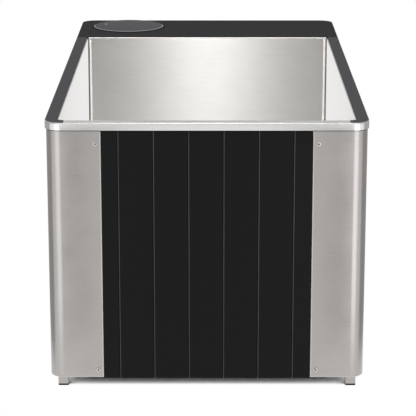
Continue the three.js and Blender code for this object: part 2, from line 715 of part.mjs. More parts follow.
// Filter canister: hangs from the deck by its flange, with an inlet below and an outlet in front
function filterCanister() {
  const inner = CANISTER_RADIUS - CANISTER_WALL;
  const flangeRadius = CANISTER_RADIUS + CANISTER_FLANGE_WIDTH;
  const flangeBottom = FLANGE_TOP - CANISTER_FLANGE_HEIGHT;
  const floor = CANISTER_BOTTOM + CANISTER_WALL;
  const can = turned([
    [0, CANISTER_BOTTOM],
    [CANISTER_RADIUS, CANISTER_BOTTOM],
    [CANISTER_RADIUS, flangeBottom],
    [flangeRadius, flangeBottom],
    [flangeRadius, FLANGE_TOP],
    [inner, FLANGE_TOP],
    [inner, floor],
    [0, floor],
  ]).translate(LID_X, LID_Y, 0);
  const frontY = LID_Y - inner;
  const outlet = barY(LID_X, [CANISTER_OUTLET_Y, frontY - GAP], CANISTER_OUTLET_Z, PIPE_RADIUS, PORT_SIDES);
  const outletDepth = [CANISTER_OUTLET_Y - SHEET, frontY + CANISTER_WALL];
  const outletBore = barY(LID_X, outletDepth, CANISTER_OUTLET_Z, PIPE_BORE, PORT_SIDES);
  const inlet = barZ(LID_X, LID_Y, [CANISTER_INLET_Z, floor - GAP], PIPE_RADIUS, PORT_SIDES);
  const inletDepth = [CANISTER_INLET_Z - SHEET, floor + SHEET];
  const inletBore = barZ(LID_X, LID_Y, inletDepth, PIPE_BORE, PORT_SIDES);
  return piece('filter_canister', cut(join(can, outlet, inlet), outletBore, inletBore), 'whitePlastic');
}

// Filter cartridge: pleated cloth between two caps, hung under the lid
function filterCartridge() {
  const pleats = polygon(Array.from({ length: 2 * CARTRIDGE_PLEATS }, (_, i) => {
    const angle = (i * Math.PI) / CARTRIDGE_PLEATS;
    const radius = CARTRIDGE_RADIUS - (i % 2) * CARTRIDGE_PLEAT_DEPTH;
    return [LID_X + radius * Math.cos(angle), LID_Y + radius * Math.sin(angle)];
  }));
  const capTop = LID_UNDERSIDE - LID_PLATE - GAP;
  const mediaTop = capTop - CARTRIDGE_CAP_HEIGHT;
  const media = prism(pleats, CARTRIDGE_BOTTOM, capTop - SHEET);
  const upperCap = barZ(LID_X, LID_Y, [mediaTop, capTop], CARTRIDGE_CAP_RADIUS);
  const lowerHeight = [CARTRIDGE_BOTTOM - SHEET, CARTRIDGE_BOTTOM + CARTRIDGE_CAP_HEIGHT];
  const lowerCap = barZ(LID_X, LID_Y, lowerHeight, CARTRIDGE_CAP_RADIUS);
  const core = barZ(LID_X, LID_Y, [CARTRIDGE_BOTTOM - 2 * SHEET, mediaTop], CARTRIDGE_CORE_RADIUS);
  return piece('filter_cartridge', cut(join(media, upperCap, lowerCap), core), 'filterPaper');
}

// A flanged fitting with a bored tail, turned about Z with its flange below the origin
function fitting(flangeRadius, radius, bore, tailLength) {
  return turned([
    [bore, -FITTING_DOME],
    [flangeRadius - FITTING_DOME, -FITTING_DOME],
    [flangeRadius, -GAP],
    [radius, -GAP],
    [radius, tailLength],
    [bore, tailLength],
    [bore, -FITTING_DOME],
  ]);
}

// Fittings in the basin: suction and return in the rear wall, drain in the floor
function basinFittings() {
  const group = new THREE.Group();
  const rearward = -Math.PI / 2;
  const suction = fitting(SUCTION_FLANGE_RADIUS, PIPE_RADIUS, PIPE_BORE, FITTING_TAIL).rotateX(rearward);
  group.add(piece('suction_fitting', suction.translate(LID_X, BASIN_REAR_Y, SUCTION_Z), 'whitePlastic'));
  const nozzle = fitting(RETURN_FLANGE_RADIUS, PIPE_RADIUS, PIPE_BORE, FITTING_TAIL).rotateX(rearward);
  group.add(piece('return_nozzle', nozzle.translate(EXCHANGER_X, BASIN_REAR_Y, RETURN_Z), 'whitePlastic'));
  const strainer = fitting(DRAIN_FLANGE_RADIUS, DRAIN_TAIL_RADIUS, DRAIN_TAIL_BORE, DRAIN_TAIL)
    .rotateX(Math.PI)
    .translate(0, DRAIN_Y, BASIN_FLOOR);
  group.add(piece('drain_strainer', strainer, 'brushedSteel'));
  return group;
}

// Circulation pump: a volute and a motor on a foot, with its outlet up to the filter
function pump() {
  const voluteX = [LID_X - PUMP_VOLUTE_HALF, LID_X + PUMP_VOLUTE_HALF];
  const volute = barX(voluteX, LID_Y, SUCTION_Z, PUMP_VOLUTE_RADIUS);
  const motor = barX([LID_X, LID_X + PUMP_LENGTH], LID_Y, SUCTION_Z, PUMP_RADIUS);
  const foot = block(
    [LID_X + PUMP_FOOT.start, LID_X + PUMP_FOOT.end],
    [LID_Y - PUMP_FOOT.halfWidth, LID_Y + PUMP_FOOT.halfWidth],
    [MACHINE_FLOOR, SUCTION_Z - PUMP_RADIUS / 2],
  );
  const outlet = barZ(LID_X, LID_Y, [SUCTION_Z, CANISTER_INLET_Z - GAP], PIPE_RADIUS, PORT_SIDES);
  const suction = barY(LID_X, [PUMP_PORT_Y, LID_Y], SUCTION_Z, PIPE_RADIUS, PORT_SIDES);
  return piece('circulation_pump', join(volute, motor, foot, outlet, suction), 'blackPlastic');
}

// Straight water pipes: basin to pump, and heat exchanger back to basin
function straightPipes() {
  const group = new THREE.Group();
  const start = FITTING_END_Y + GAP;
  const suction = [[LID_X, start, SUCTION_Z], [LID_X, PUMP_PORT_Y - GAP, SUCTION_Z]];
  const back = [[EXCHANGER_X, start, RETURN_Z], [EXCHANGER_X, EXCHANGER_PORT_Y - GAP, RETURN_Z]];
  group.add(piece('suction_pipe', pipe(suction, PIPE_RADIUS, PIPE_BORE, 1), 'whitePlastic'));
  group.add(piece('return_pipe', pipe(back, PIPE_RADIUS, PIPE_BORE, 1), 'whitePlastic'));
  return group;
}

// Feed pipe: from the filter's outlet, along the basin's back and down to the heat exchanger
function feedPipe() {
  const start = CANISTER_OUTLET_Y - GAP;
  const end = EXCHANGER_PORT_Y - GAP;
  const route = [
    [LID_X, start, CANISTER_OUTLET_Z],
    [LID_X, start - 12, CANISTER_OUTLET_Z],
    [LID_X + 22, FEED_RUN_Y + 6, CANISTER_OUTLET_Z],
    [LID_X + 70, FEED_RUN_Y, CANISTER_OUTLET_Z - 5],
    [-40, FEED_RUN_Y, 330],
    [80, FEED_RUN_Y, 200],
    [180, FEED_RUN_Y, FEED_Z + 20],
    [EXCHANGER_X - 45, FEED_RUN_Y, FEED_Z],
    [EXCHANGER_X - 8, FEED_RUN_Y + 18, FEED_Z],
    [EXCHANGER_X, FEED_RUN_Y + 50, FEED_Z],
    [EXCHANGER_X, end, FEED_Z],
  ];
  return piece('chiller_feed_pipe', pipe(route, FEED_PIPE_RADIUS, FEED_PIPE_BORE, 28), 'whitePlastic');
}

// Drain pipe: an elbow under the basin's drain, then straight back to the valve
function drainPipe() {
  const start = BASIN_FLOOR - DRAIN_TAIL - 2 * GAP;
  const route = [
    [0, DRAIN_Y, start],
    [0, DRAIN_Y, start - 8],
    [0, DRAIN_Y + 8, DRAIN_AXIS_Z + 8],
    [0, DRAIN_Y + 20, DRAIN_AXIS_Z + 1],
    [0, DRAIN_Y + 40, DRAIN_AXIS_Z],
    [0, DRAIN_Y + 170, DRAIN_AXIS_Z],
    [0, VALVE_Y - VALVE_TAIL - GAP, DRAIN_AXIS_Z],
  ];
  return piece('drain_pipe', pipe(route, DRAIN_PIPE_RADIUS, DRAIN_PIPE_BORE, 18), 'whitePlastic');
}

// Drain valve: a ball valve in the bay, with its stem upright
function drainValve() {
  const tail = barY(0, [VALVE_Y - VALVE_TAIL, VALVE_Y], DRAIN_AXIS_Z, VALVE_TAIL_RADIUS, PORT_SIDES);
  const bodyDepth = [VALVE_Y - VALVE_BODY_HALF, VALVE_Y + VALVE_BODY_HALF];
  const hexagon = 6;
  const body = barY(0, bodyDepth, DRAIN_AXIS_Z, VALVE_BODY_RADIUS, hexagon);
  const outlet = barY(0, [VALVE_Y, DRAIN_OUTLET_Y], DRAIN_AXIS_Z, DRAIN_OUTLET_RADIUS, PORT_SIDES);
  const stem = barZ(0, VALVE_Y, [DRAIN_AXIS_Z, LEVER_Z - GAP], VALVE_STEM_RADIUS, SMALL_SIDES);
  const boreDepth = [VALVE_Y + VALVE_BODY_HALF / 2, DRAIN_OUTLET_Y + SHEET];
  const bore = barY(0, boreDepth, DRAIN_AXIS_Z, DRAIN_OUTLET_BORE, PORT_SIDES);
  return piece('drain_valve', cut(join(tail, body, outlet, stem), bore), 'brass');
}

// Drain lever: a flat quarter-turn handle on the valve's stem, across the pipe when closed
function drainLever() {
  const level = [LEVER_Z, LEVER_Z + LEVER_THICKNESS];
  const boss = barZ(0, VALVE_Y, level, LEVER_BOSS_RADIUS, PORT_SIDES);
  const width = [VALVE_Y - LEVER_HALF_WIDTH, VALVE_Y + LEVER_HALF_WIDTH];
  const arm = prism(roundedRectangle([-LEVER_LENGTH, 0], width, LEVER_HALF_WIDTH - 1), ...level);
  return piece('drain_lever', join(boss, arm), 'blackPlastic');
}

// Heat exchanger: an upright vessel with two ports towards the basin
function heatExchanger() {
  const vessel = turned([
    [0, MACHINE_FLOOR],
    [EXCHANGER_RADIUS, MACHINE_FLOOR],
    [EXCHANGER_RADIUS, EXCHANGER_TOP - EXCHANGER_SHOULDER],
    [EXCHANGER_RADIUS - EXCHANGER_SHOULDER, EXCHANGER_TOP],
    [0, EXCHANGER_TOP],
  ]).translate(EXCHANGER_X, EXCHANGER_Y, 0);
  const port = (z) => barY(EXCHANGER_X, [EXCHANGER_PORT_Y, EXCHANGER_Y], z, PIPE_RADIUS, PORT_SIDES);
  return piece('heat_exchanger', join(vessel, port(RETURN_Z), port(FEED_Z)), 'blackPlastic');
}

// Compressor: a domed steel can on a foot plate
function compressor() {
  const base = MACHINE_FLOOR + MACHINE_PLATE;
  const can = turned([
    [0, base - GAP],
    [COMPRESSOR_RADIUS * 0.87, base - GAP],
    [COMPRESSOR_RADIUS, base + COMPRESSOR_RADIUS * 0.16],
    [COMPRESSOR_RADIUS, COMPRESSOR_TOP - COMPRESSOR_RADIUS * 0.4],
    [COMPRESSOR_RADIUS * 0.8, COMPRESSOR_TOP - COMPRESSOR_RADIUS * 0.13],
    [COMPRESSOR_RADIUS * 0.5, COMPRESSOR_TOP],
    [0, COMPRESSOR_TOP],
  ]).translate(COMPRESSOR_X, COMPRESSOR_Y, 0);
  const foot = block(
    [COMPRESSOR_X - COMPRESSOR_FOOT_HALF, COMPRESSOR_X + COMPRESSOR_FOOT_HALF],
    [COMPRESSOR_Y - COMPRESSOR_FOOT_HALF, COMPRESSOR_Y + COMPRESSOR_FOOT_HALF],
    [MACHINE_FLOOR, base],
  );
  return piece('compressor', join(can, foot), 'blackSteel');
}

// Condenser: a finned coil block on two side plates that stand on the pan
function condenser() {
  const left = FAN_X - CONDENSER_SIDE / 2;
  const right = FAN_X + CONDENSER_SIDE / 2;
  const pitch = CONDENSER_SIDE / CONDENSER_FINS;
  const front = CONDENSER_Y + GAP;
  const rear = front + CONDENSER_DEPTH;
  const root = rear - CONDENSER_FIN_DEPTH;
  const outline = [[left, front], [right, front]];
  for (let i = 0; i < CONDENSER_FINS; i += 1) {
    const x = right - i * pitch;
    outline.push([x, rear], [x - pitch / 2, rear], [x - pitch / 2, root], [x - pitch, root]);
  }
  const coil = prism(polygon(outline), FAN_Z - CONDENSER_SIDE / 2, FAN_Z + CONDENSER_SIDE / 2);
  const leg = (x) => block([x, x + MACHINE_PLATE], [front, root], [MACHINE_FLOOR, FAN_Z]);
  return piece('condenser', join(coil, leg(left), leg(right - MACHINE_PLATE)), 'aluminium');
}

// Fan shroud: a plate and collar in front of the coil, with the motor on four arms
function fanShroud() {
  const half = CONDENSER_SIDE / 2;
  const inner = FAN_RADIUS + FAN_CLEARANCE;
  const front = FAN_FRONT_Y - SHROUD_LEAD;
  const plateDepth = [CONDENSER_Y - SHROUD_WALL, CONDENSER_Y];
  const plate = block([FAN_X - half, FAN_X + half], plateDepth, [FAN_Z - half, FAN_Z + half]);
  const collar = barY(FAN_X, [front, CONDENSER_Y], FAN_Z, inner + SHROUD_WALL);
  const opening = barY(FAN_X, [front - SHEET, CONDENSER_Y + SHEET], FAN_Z, inner);
  const motor = barY(FAN_X, [FAN_FRONT_Y - FAN_MOTOR_LEAD, FAN_FRONT_Y - SHEET], FAN_Z, FAN_HUB_RADIUS);
  const reach = inner + SHROUD_WALL / 2;
  const armDepth = [front, front + SHROUD_ARM];
  const armHalf = SHROUD_ARM / 2;
  const across = block([FAN_X - reach, FAN_X + reach], armDepth, [FAN_Z - armHalf, FAN_Z + armHalf]);
  const upright = block([FAN_X - armHalf, FAN_X + armHalf], armDepth, [FAN_Z - reach, FAN_Z + reach]);
  return piece('fan_shroud', join(cut(join(plate, collar), opening), motor, across, upright), 'blackPlastic');
}

// Fan rotor: a hub with pitched blades
function fanRotor() {
  const hub = barY(FAN_X, [FAN_FRONT_Y, FAN_FRONT_Y + FAN_DEPTH], FAN_Z, FAN_HUB_RADIUS);
  const root = FAN_HUB_RADIUS - FAN_CLEARANCE;
  const tip = FAN_RADIUS - FAN_CLEARANCE;
  const blades = Array.from({ length: FAN_BLADES }, (_, i) => (
    new THREE.BoxGeometry(FAN_BLADE_CHORD, FAN_BLADE_THICKNESS, tip - root)
      .rotateZ(THREE.MathUtils.degToRad(FAN_BLADE_PITCH))
      .translate(0, 0, (tip + root) / 2)
      .rotateY((i * 2 * Math.PI) / FAN_BLADES)
      .translate(FAN_X, FAN_FRONT_Y + FAN_DEPTH / 2, FAN_Z)
  ));
  return piece('fan_rotor', join(hub, ...blades), 'blackPlastic');
}

// Control box: hung under the rear deck beside the filter
function controlBox() {
  const outline = roundedRectangle(CONTROL_BOX.x, CONTROL_BOX.y, CONTROL_BOX.rounding);
  return piece('control_box', prism(outline, CONTROL_BOX.bottom, FLANGE_TOP), 'blackPlastic');
}

// Mains inlet: a flanged module in the rear panel with a socket and a well for the switch
function powerInlet() {
  const span = (half) => [INLET_X - half, INLET_X + half];
  const rise = (half) => [INLET_Z - half, INLET_Z + half];
  const flangeDepth = [INLET_FACE_Y, INLET_FACE_Y + INLET_FLANGE.depth];
  const flange = block(span(INLET_FLANGE.halfWidth), flangeDepth, rise(INLET_FLANGE.halfHeight));
  const bodyDepth = [INLET_FACE_Y - INLET_BODY.depth, INLET_FACE_Y + INLET_FLANGE.depth / 2];
  const body = block(span(INLET_BODY.halfWidth), bodyDepth, rise(INLET_BODY.halfHeight));
  const pocketDepth = [INLET_FACE_Y - INLET_SOCKET.depth, INLET_FACE_Y + 2 * INLET_FLANGE.depth];
  const socketX = INLET_SOCKET.x.map((x) => INLET_X + x);
  const socket = block(socketX, pocketDepth, rise(INLET_SOCKET.halfHeight));
  const wellX = SWITCH_WELL.x.map((x) => INLET_X + x);
  const well = block(wellX, pocketDepth, rise(SWITCH_WELL.halfHeight));
  return piece('power_inlet', cut(join(flange, body), socket, well), 'blackPlastic');
}

// Power switch: a rocker with a shallow crown, resting with one end pressed in
function powerSwitch() {
  const section = polygon([
    [-SWITCH_HALF_LENGTH, 0],
    [0, -SWITCH_CROWN],
    [SWITCH_HALF_LENGTH, 0],
    [SWITCH_HALF_LENGTH - SWITCH_CROWN, SWITCH_DEPTH],
    [SWITCH_CROWN - SWITCH_HALF_LENGTH, SWITCH_DEPTH],
  ]);
  const rocker = prism(section, -SWITCH_HALF_WIDTH, SWITCH_HALF_WIDTH)
    .rotateY(Math.PI / 2)
    .rotateZ(Math.PI)
    .rotateX(THREE.MathUtils.degToRad(SWITCH_TILT));
  const middleX = INLET_X + (SWITCH_WELL.x[0] + SWITCH_WELL.x[1]) / 2;
  const pivotY = INLET_FACE_Y + INLET_FLANGE.depth - SWITCH_SINK;
  return piece('power_switch', rocker.translate(middleX, pivotY, INLET_Z), 'blackPlastic');
}

// Screws: pan heads on the front panels, near the edge of the boards
function screws() {
  const group = new THREE.Group();
  const profile = [
    [0, -SCREW_HEAD_HEIGHT - GAP],
    [SCREW_FACE_RADIUS, -SCREW_HEAD_HEIGHT - GAP],
    [SCREW_HEAD_RADIUS, -SCREW_EDGE_HEIGHT - GAP],
    [SCREW_HEAD_RADIUS, -GAP],
    [SCREW_SHANK_RADIUS, -GAP],
    [SCREW_SHANK_RADIUS, SCREW_SHANK_LENGTH],
    [0, SCREW_SHANK_LENGTH],
  ];
  for (const [side, sx] of [['left', -1], ['right', 1]]) {
    for (const [level, z] of Object.entries(SCREW_HEIGHTS)) {
      const screw = turned(profile, SMALL_SIDES).rotateX(-Math.PI / 2);
      const mesh = piece(`screw_${side}_${level}`, screw, 'brushedSteel');
      mesh.position.set(sx * SCREW_X, -BODY_Y, z);
      group.add(mesh);
    }
  }
  return group;
}

const tub = new THREE.Group();
tub.name = 'cold_plunge_tub';

const housing = new THREE.Group();
housing.add(feet(), basePan(), cornerPanels(), frontBoards(), sideCladding(), rearPanel(), screws());

const rim = new THREE.Group();
rim.add(frontRim(), rimBand(), deck(), cornerCaps());

const vessel = new THREE.Group();
vessel.add(basin(), insulation(), basinFittings());

const filter = new THREE.Group();
filter.add(lid(), gasket(), releaseButton(), filterCanister(), filterCartridge());

const plumbing = new THREE.Group();
plumbing.add(pump(), straightPipes(), feedPipe(), drainPipe(), drainValve(), drainLever());

const chiller = new THREE.Group();
chiller.add(heatExchanger(), compressor(), condenser(), fanShroud(), fanRotor());
chiller.add(controlBox(), powerInlet(), powerSwitch());

tub.add(housing, rim, vessel, filter, plumbing, chiller);

export default tub;
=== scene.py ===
"""Looks of the cold plunge tub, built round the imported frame. Metres, +Z up, the front faces -Y."""

import json
import math

import bmesh
import bpy
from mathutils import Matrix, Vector


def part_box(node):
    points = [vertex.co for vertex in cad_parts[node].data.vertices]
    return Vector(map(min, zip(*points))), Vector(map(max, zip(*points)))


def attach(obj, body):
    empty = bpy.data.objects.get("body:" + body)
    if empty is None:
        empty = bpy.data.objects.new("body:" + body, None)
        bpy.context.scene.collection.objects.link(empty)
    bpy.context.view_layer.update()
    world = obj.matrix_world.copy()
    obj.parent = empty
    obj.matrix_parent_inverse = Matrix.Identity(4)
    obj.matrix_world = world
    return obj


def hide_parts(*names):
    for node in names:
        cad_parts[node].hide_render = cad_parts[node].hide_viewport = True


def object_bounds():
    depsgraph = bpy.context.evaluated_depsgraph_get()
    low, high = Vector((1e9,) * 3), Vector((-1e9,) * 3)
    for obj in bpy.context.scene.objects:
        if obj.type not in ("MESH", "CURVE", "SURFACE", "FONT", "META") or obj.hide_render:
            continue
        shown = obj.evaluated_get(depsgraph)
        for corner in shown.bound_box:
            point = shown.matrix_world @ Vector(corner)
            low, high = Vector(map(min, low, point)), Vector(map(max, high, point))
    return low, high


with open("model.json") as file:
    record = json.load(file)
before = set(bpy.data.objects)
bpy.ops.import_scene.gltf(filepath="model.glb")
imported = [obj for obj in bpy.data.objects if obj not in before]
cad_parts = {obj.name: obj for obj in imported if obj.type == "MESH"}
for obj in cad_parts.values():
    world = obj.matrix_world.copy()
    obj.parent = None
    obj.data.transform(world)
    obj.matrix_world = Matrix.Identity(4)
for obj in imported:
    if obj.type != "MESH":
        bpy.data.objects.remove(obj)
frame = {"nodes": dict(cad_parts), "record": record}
cad_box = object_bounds()
nodes = frame["nodes"]
SLOTS = {part["node"]: part["material_slot"] for part in frame["record"]["subparts"]}

MM = 0.001

# Ends and sides of the tub, with their signs along Y and X
ENDS = (("front", -1), ("rear", 1))
SIDES = (("left", -1), ("right", 1))

# Camera: metres and degrees in the part's frame, pixels of a square image
IMAGE_SIDE = 416
FOCAL_PIXELS = 1898.5
SENSOR = 36.0
CAMERA_PLACE = (0.0062, -5.3079, 1.6810)
CAMERA_PITCH = 14.927
CAMERA_YAW = 0.044
CAMERA_REACH = 100.0

# Steps along arcs, and sides of turned pieces
BEND_STEPS = 6
ROUND_STEPS = 8
CORNER_STEPS = 24
DISC_SIDES = 96

# Meshes: the angle in degrees above which an edge stays sharp, and how close points merge and specks vanish
SHARP_ANGLE = 35
MERGE_REACH = 1e-6
SPECK = 1e-7

# Eased edges of the frame's own solids, by material slot, and how they are smoothed
BEVELS = {"deck_board": 0.8 * MM, "black_board": 0.5 * MM, "rubber": 0.6 * MM, "foam": 3.0 * MM}
SMALL_BEVEL = 0.4 * MM
BEVEL_SEGMENTS = 2
BEVEL_ANGLE = 40
WELD_REACH = 1e-5
NORMAL_WEIGHT = 80
# The side decks and the corner caps take a paler copy of the deck board: painted sheen.
FINISHES = dict.fromkeys(("left_deck", "right_deck", "corner_cap_left", "corner_cap_right"), "deck_painted_sheen")

# Sheet metal and the tub's round corners
SHEET = 2.0 * MM
CORNER_RADIUS = 40.0 * MM
BODY_INSET = 3.5 * MM
BODY_RADIUS = CORNER_RADIUS - BODY_INSET

# Corner panels
EDGE_BEND = 3.0 * MM
HEM_RADIUS = 1.4 * MM
HEM_HEIGHT = 12.0 * MM

# Front boards, with their joints drawn a little to the left of the solids' joints
BOARD_CHAMFER = 2.0 * MM
BOARD_TONGUE = 4.0 * MM
TONGUE_HALF = 1.5 * MM
GROOVE_SHIFT = -2.6 * MM

# Front rim, its top strip, and the dark strip below it that paints the shadow under the rim
RIM_ROUNDING = 2.5 * MM
RIM_WALL = 3.2 * MM
RIM_SWELL = 0.15 * MM
RIM_STEPS = 8
STRIP_DEPTH = 34.0 * MM
STRIP_BEND = 2.5 * MM
STRIP_BEND_STEPS = 5
STRIP_THICKNESS = 4.0 * MM
STRIP_SEAM = 0.3 * MM
SHADOW_STRIP_HEIGHT = 1.3 * MM
SHADOW_STRIP_DROP = 1.0 * MM
SHADOW_STRIP_PROUD = 0.4 * MM

# Basin, the folds in its rear corners and the lip along its rear edge
BASIN_HALF = 366.0 * MM
BASIN_FRONT_SETBACK = 36.0 * MM
BASIN_REAR_SETBACK = 322.0 * MM
BASIN_FRONT = cad_box[0][1] + BASIN_FRONT_SETBACK
BASIN_REAR = cad_box[1][1] - BASIN_REAR_SETBACK
BASIN_CORNER = 9.0 * MM
BASIN_FLOOR_BEND = 10.0 * MM
BASIN_TOP_BEND = 2.0 * MM
BASIN_FLANGE = 25.0 * MM
FOLD_INNER = 10.0 * MM
FOLD_OUTER = 4.5 * MM
FOLD_LIFT = 0.5 * MM
FOLD_TILT = 8.0
LIP_RADIUS = 1.8 * MM
LIP_STEPS = 12

# Filter lid and its gasket
LID_FACE = 106.5 * MM
LID_EASE = 1.5 * MM
LID_CROWN = 1.2 * MM
LID_CROWN_START = 80.0 * MM
LID_ARRIS = 0.3 * MM
LID_LIP = 0.5 * MM
LID_SHOULDER = 0.75 * MM
LID_SEAT = 0.3 * MM
LID_SHARP_ANGLE = 8
PLUG_RADIUS = 78.0 * MM
PLUG_INNER = 70.0 * MM
PLUG_DEPTH = 10.0 * MM
GASKET_INNER = 100.0 * MM
GASKET_SPREAD = 2.5 * MM

# Screws: the head's outline as shares of its height and radius
SCREW_SIDES = 24
SCREW_SHANK = 2.0 * MM
SCREW_LIFT = 0.3 * MM
SCREW_SHARP_ANGLE = 30
HEAD_OUTLINE = ((0.0, 1.0), (0.55, 1.0), (0.86, 0.9), (1.0, 0.74))
SOCKET_SHARE = 0.42
SOCKET_FLOOR = 0.2

# Louvre hoods on the rear panel
LOUVRE_ROWS = 14
LOUVRE_PITCH = 20.0 * MM
LOUVRE_BOTTOM = 320.0 * MM
LOUVRE_HEIGHT = 7.0 * MM
LOUVRE_HALF = 100.0 * MM
LOUVRE_CENTRES = (-120.0 * MM, 120.0 * MM)
HOOD_RISE = 3.4 * MM
HOOD_SHEET = 0.8 * MM
HOOD_LAP = 2.0 * MM
HOOD_STATIONS = 24
HOOD_KNEE = 0.55
HOOD_STRETCH = 1.01
HOOD_TAPER_POWER = 6
HOOD_SHARP_ANGLE = 40

# Grilles in the basin
GRILLE_SHARE = 0.62
GRILLE_RINGS = 3
GRILLE_SIDES = 48
GRILLE_WIRE = 2.2 * MM
GRILLE_LIFT = 0.4 * MM

# How far a face's normal leans when the face counts as flat, bent, slanted or facing up
FLAT_FACING = 0.97
BEND_FACING = 0.2
SLANT_FACING = 0.5

# Studio light by direction: levels, and the spans of agreement with a direction over which they fade in
STUDIO_BASE = 0.25
BACKDROP = 0.45
BACKDROP_FADE = (0.5, 0.9)
STRIP_LIGHT = 0.9
STRIP_FADE = (0.35, 0.8)
STRIP_SIDE_FADE = (0.10, 0.45)
SIDE_LIGHT = 0.4
SIDE_FADE = (0.78, 0.96)
SIDE_AZIMUTH = 67
SIDE_RISE = 0.15

# Floor, and the soft dark line where something stands on it
FLOOR_SIDE = 80.0
FLOOR_BOUNCE = 0.9
CONTACT_REACH = 0.3
CONTACT_FADE = (0.02, 0.2)
CONTACT_SAMPLES = 32

# Cards that only reflections show
STANDING_HALF = 0.65
CARD_LIFT = 0.002
SIDE_CARD_GLOW = 1.64
SIDE_CARD_SKEW = 0.15
WALL_CARD_GLOW = 0.84
WALL_CARD_GAP = 10.0 * MM
FIRST_BOUNCE = 1.5


# Small geometry helpers


def arc(centre_x, centre_y, radius, start, end, steps):
    """Points on an arc with their outward directions, angles in degrees."""
    found = []
    for i in range(steps + 1):
        angle = math.radians(start + (end - start) * i / steps)
        direction = (math.cos(angle), math.sin(angle))
        point = (centre_x + radius * direction[0], centre_y + radius * direction[1])
        found.append((point, direction))
    return found


def arc_points(*shape):
    """Points on an arc alone."""
    return [point for point, _ in arc(*shape)]


def offset_ring(station, profile):
    """A profile of inward offsets and heights, set up at a plan point with its outward direction."""
    (x, y), (out_x, out_y) = station
    return [(x - out_x * inward, y - out_y * inward, z) for inward, z in profile]


def loft(rings, caps=True):
    """Corners and faces of a skin over closed rings of equal length."""
    count = len(rings[0])
    corners = [tuple(point) for ring in rings for point in ring]
    faces = []
    for i in range(len(rings) - 1):
        a = i * count
        b = a + count
        for j in range(count):
            k = (j + 1) % count
            faces.append((a + j, a + k, b + k, b + j))
    if caps:
        faces.append(tuple(range(count))[::-1])
        faces.append(tuple(range(len(corners) - count, len(corners))))
    return corners, faces


def upright(outline, low, high):
    """A straight prism over a plan outline between two heights."""
    return loft([[(x, y, z) for x, y in outline] for z in (low, high)])


def bar(low, high):
    """A straight bar between two opposite corners."""
    (x0, y0, z0), (x1, y1, z1) = low, high
    return upright([(x0, y0), (x1, y0), (x1, y1), (x0, y1)], z0, z1)


def lathe(profile, sides=DISC_SIDES):
    """A turned solid about the Z axis from radius and height pairs that end on the axis or close up."""
    corners = []
    for i in range(sides):
        angle = 2 * math.pi * i / sides
        corners += [(r * math.cos(angle), r * math.sin(angle), z) for r, z in profile]
    count = len(profile)
    faces = []
    for i in range(sides):
        a = i * count
        b = ((i + 1) % sides) * count
        for j in range(count - 1):
            faces.append((a + j, b + j, b + j + 1, a + j + 1))
    return corners, faces


def moved(part, offset):
    """A part shifted by an offset."""
    corners, faces = part
    return [tuple(Vector(corner) + Vector(offset)) for corner in corners], faces


def turned_to_front(part):
    """A part made along +Z, turned so that +Z points to the front."""
    corners, faces = part
    return [(x, -z, y) for x, y, z in corners], faces


def make(name, parts, slot, body="tub", replaces=(), sharp=SHARP_ANGLE, finish=None):
    """A piece from lists of corners and faces, riding on a body."""
    shape = bmesh.new()
    for corners, faces in parts:
        made = [shape.verts.new(corner) for corner in corners]
        for face in faces:
            shape.faces.new([made[i] for i in face])
    bmesh.ops.remove_doubles(shape, verts=shape.verts, dist=MERGE_REACH)
    bmesh.ops.dissolve_degenerate(shape, dist=SPECK, edges=shape.edges)
    bmesh.ops.recalc_face_normals(shape, faces=shape.faces)
    mesh = bpy.data.meshes.new(name)
    shape.to_mesh(mesh)
    shape.free()
    mesh.shade_smooth()
    mesh.set_sharp_from_angle(angle=math.radians(sharp))
    piece = bpy.data.objects.new(name, mesh)
    bpy.context.scene.collection.objects.link(piece)
    mesh.materials.append(MATERIALS[finish or slot])
    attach(piece, body)
    if replaces:
        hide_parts(*replaces)
    return piece


def paint(piece, finish, chosen):
    """A further finish for the faces of a piece that a test chooses."""
    index = len(piece.data.materials)
    piece.data.materials.append(MATERIALS[finish])
    for face in piece.data.polygons:
        if chosen(face):
            face.material_index = index


# Shader helpers


def fill(tree, node, inputs):
    """Sets inputs of a node, each by a link from a socket or by a plain value."""
    for key, value in inputs.items():
        if isinstance(value, bpy.types.NodeSocket):
            tree.links.new(value, node.inputs[key])
        else:
            node.inputs[key].default_value = value


def add(tree, kind, inputs=None, **settings):
    """A new node with its settings and inputs."""
    node = tree.nodes.new(kind)
    for key, value in settings.items():
        setattr(node, key, value)
    fill(tree, node, inputs or {})
    return node


def maths(tree, operation, *values, clamp=False):
    """The result of a sum on sockets or plain numbers."""
    inputs = dict(enumerate(values))
    return add(tree, "ShaderNodeMath", inputs, operation=operation, use_clamp=clamp).outputs[0]


def fade(tree, value, span, strength=1.0):
    """Zero before a span, strength after it, smooth between."""
    inputs = {"Value": value, "From Min": span[0], "From Max": span[1], "To Min": 0.0, "To Max": strength}
    return add(tree, "ShaderNodeMapRange", inputs, interpolation_type="SMOOTHSTEP").outputs["Result"]


def show(tree, shader):
    """Makes a shader the surface of its material."""
    fill(tree, tree.nodes["Material Output"], {"Surface": shader})


# Materials: how the grain is stretched, and how it turns into tone, gloss and relief

EVEN_GRAIN = (1, 1, 1)
LEVEL_GRAIN = (0.03, 0.03, 1)
UPRIGHT_GRAIN = (1, 1, 0.03)
FRONT_TO_REAR_GRAIN = (1, 0.03, 1)
SIDE_TO_SIDE_GRAIN = (0.03, 1, 1)
GRAIN_DETAIL = 4.0
GRAIN_ROUGHNESS = 0.6
GRAIN_SPAN = (0.3, 0.7)
BLOTCH_SCALE = 14.0
BLOTCH_DETAIL = 3.0
RELIEF_DEPTH = 0.5 * MM
BRUSH_TURN = 0.25

MATERIALS = {}


def grey(value):
    """A tone without tint."""
    return (value, value, value)


def brush(tree, shader, strength):
    """Stretches the highlights as fine lines round the Z axis do."""
    along = add(tree, "ShaderNodeTangent", direction_type="RADIAL", axis="Z").outputs["Tangent"]
    fill(tree, shader, {"Anisotropic": strength, "Anisotropic Rotation": BRUSH_TURN, "Tangent": along})


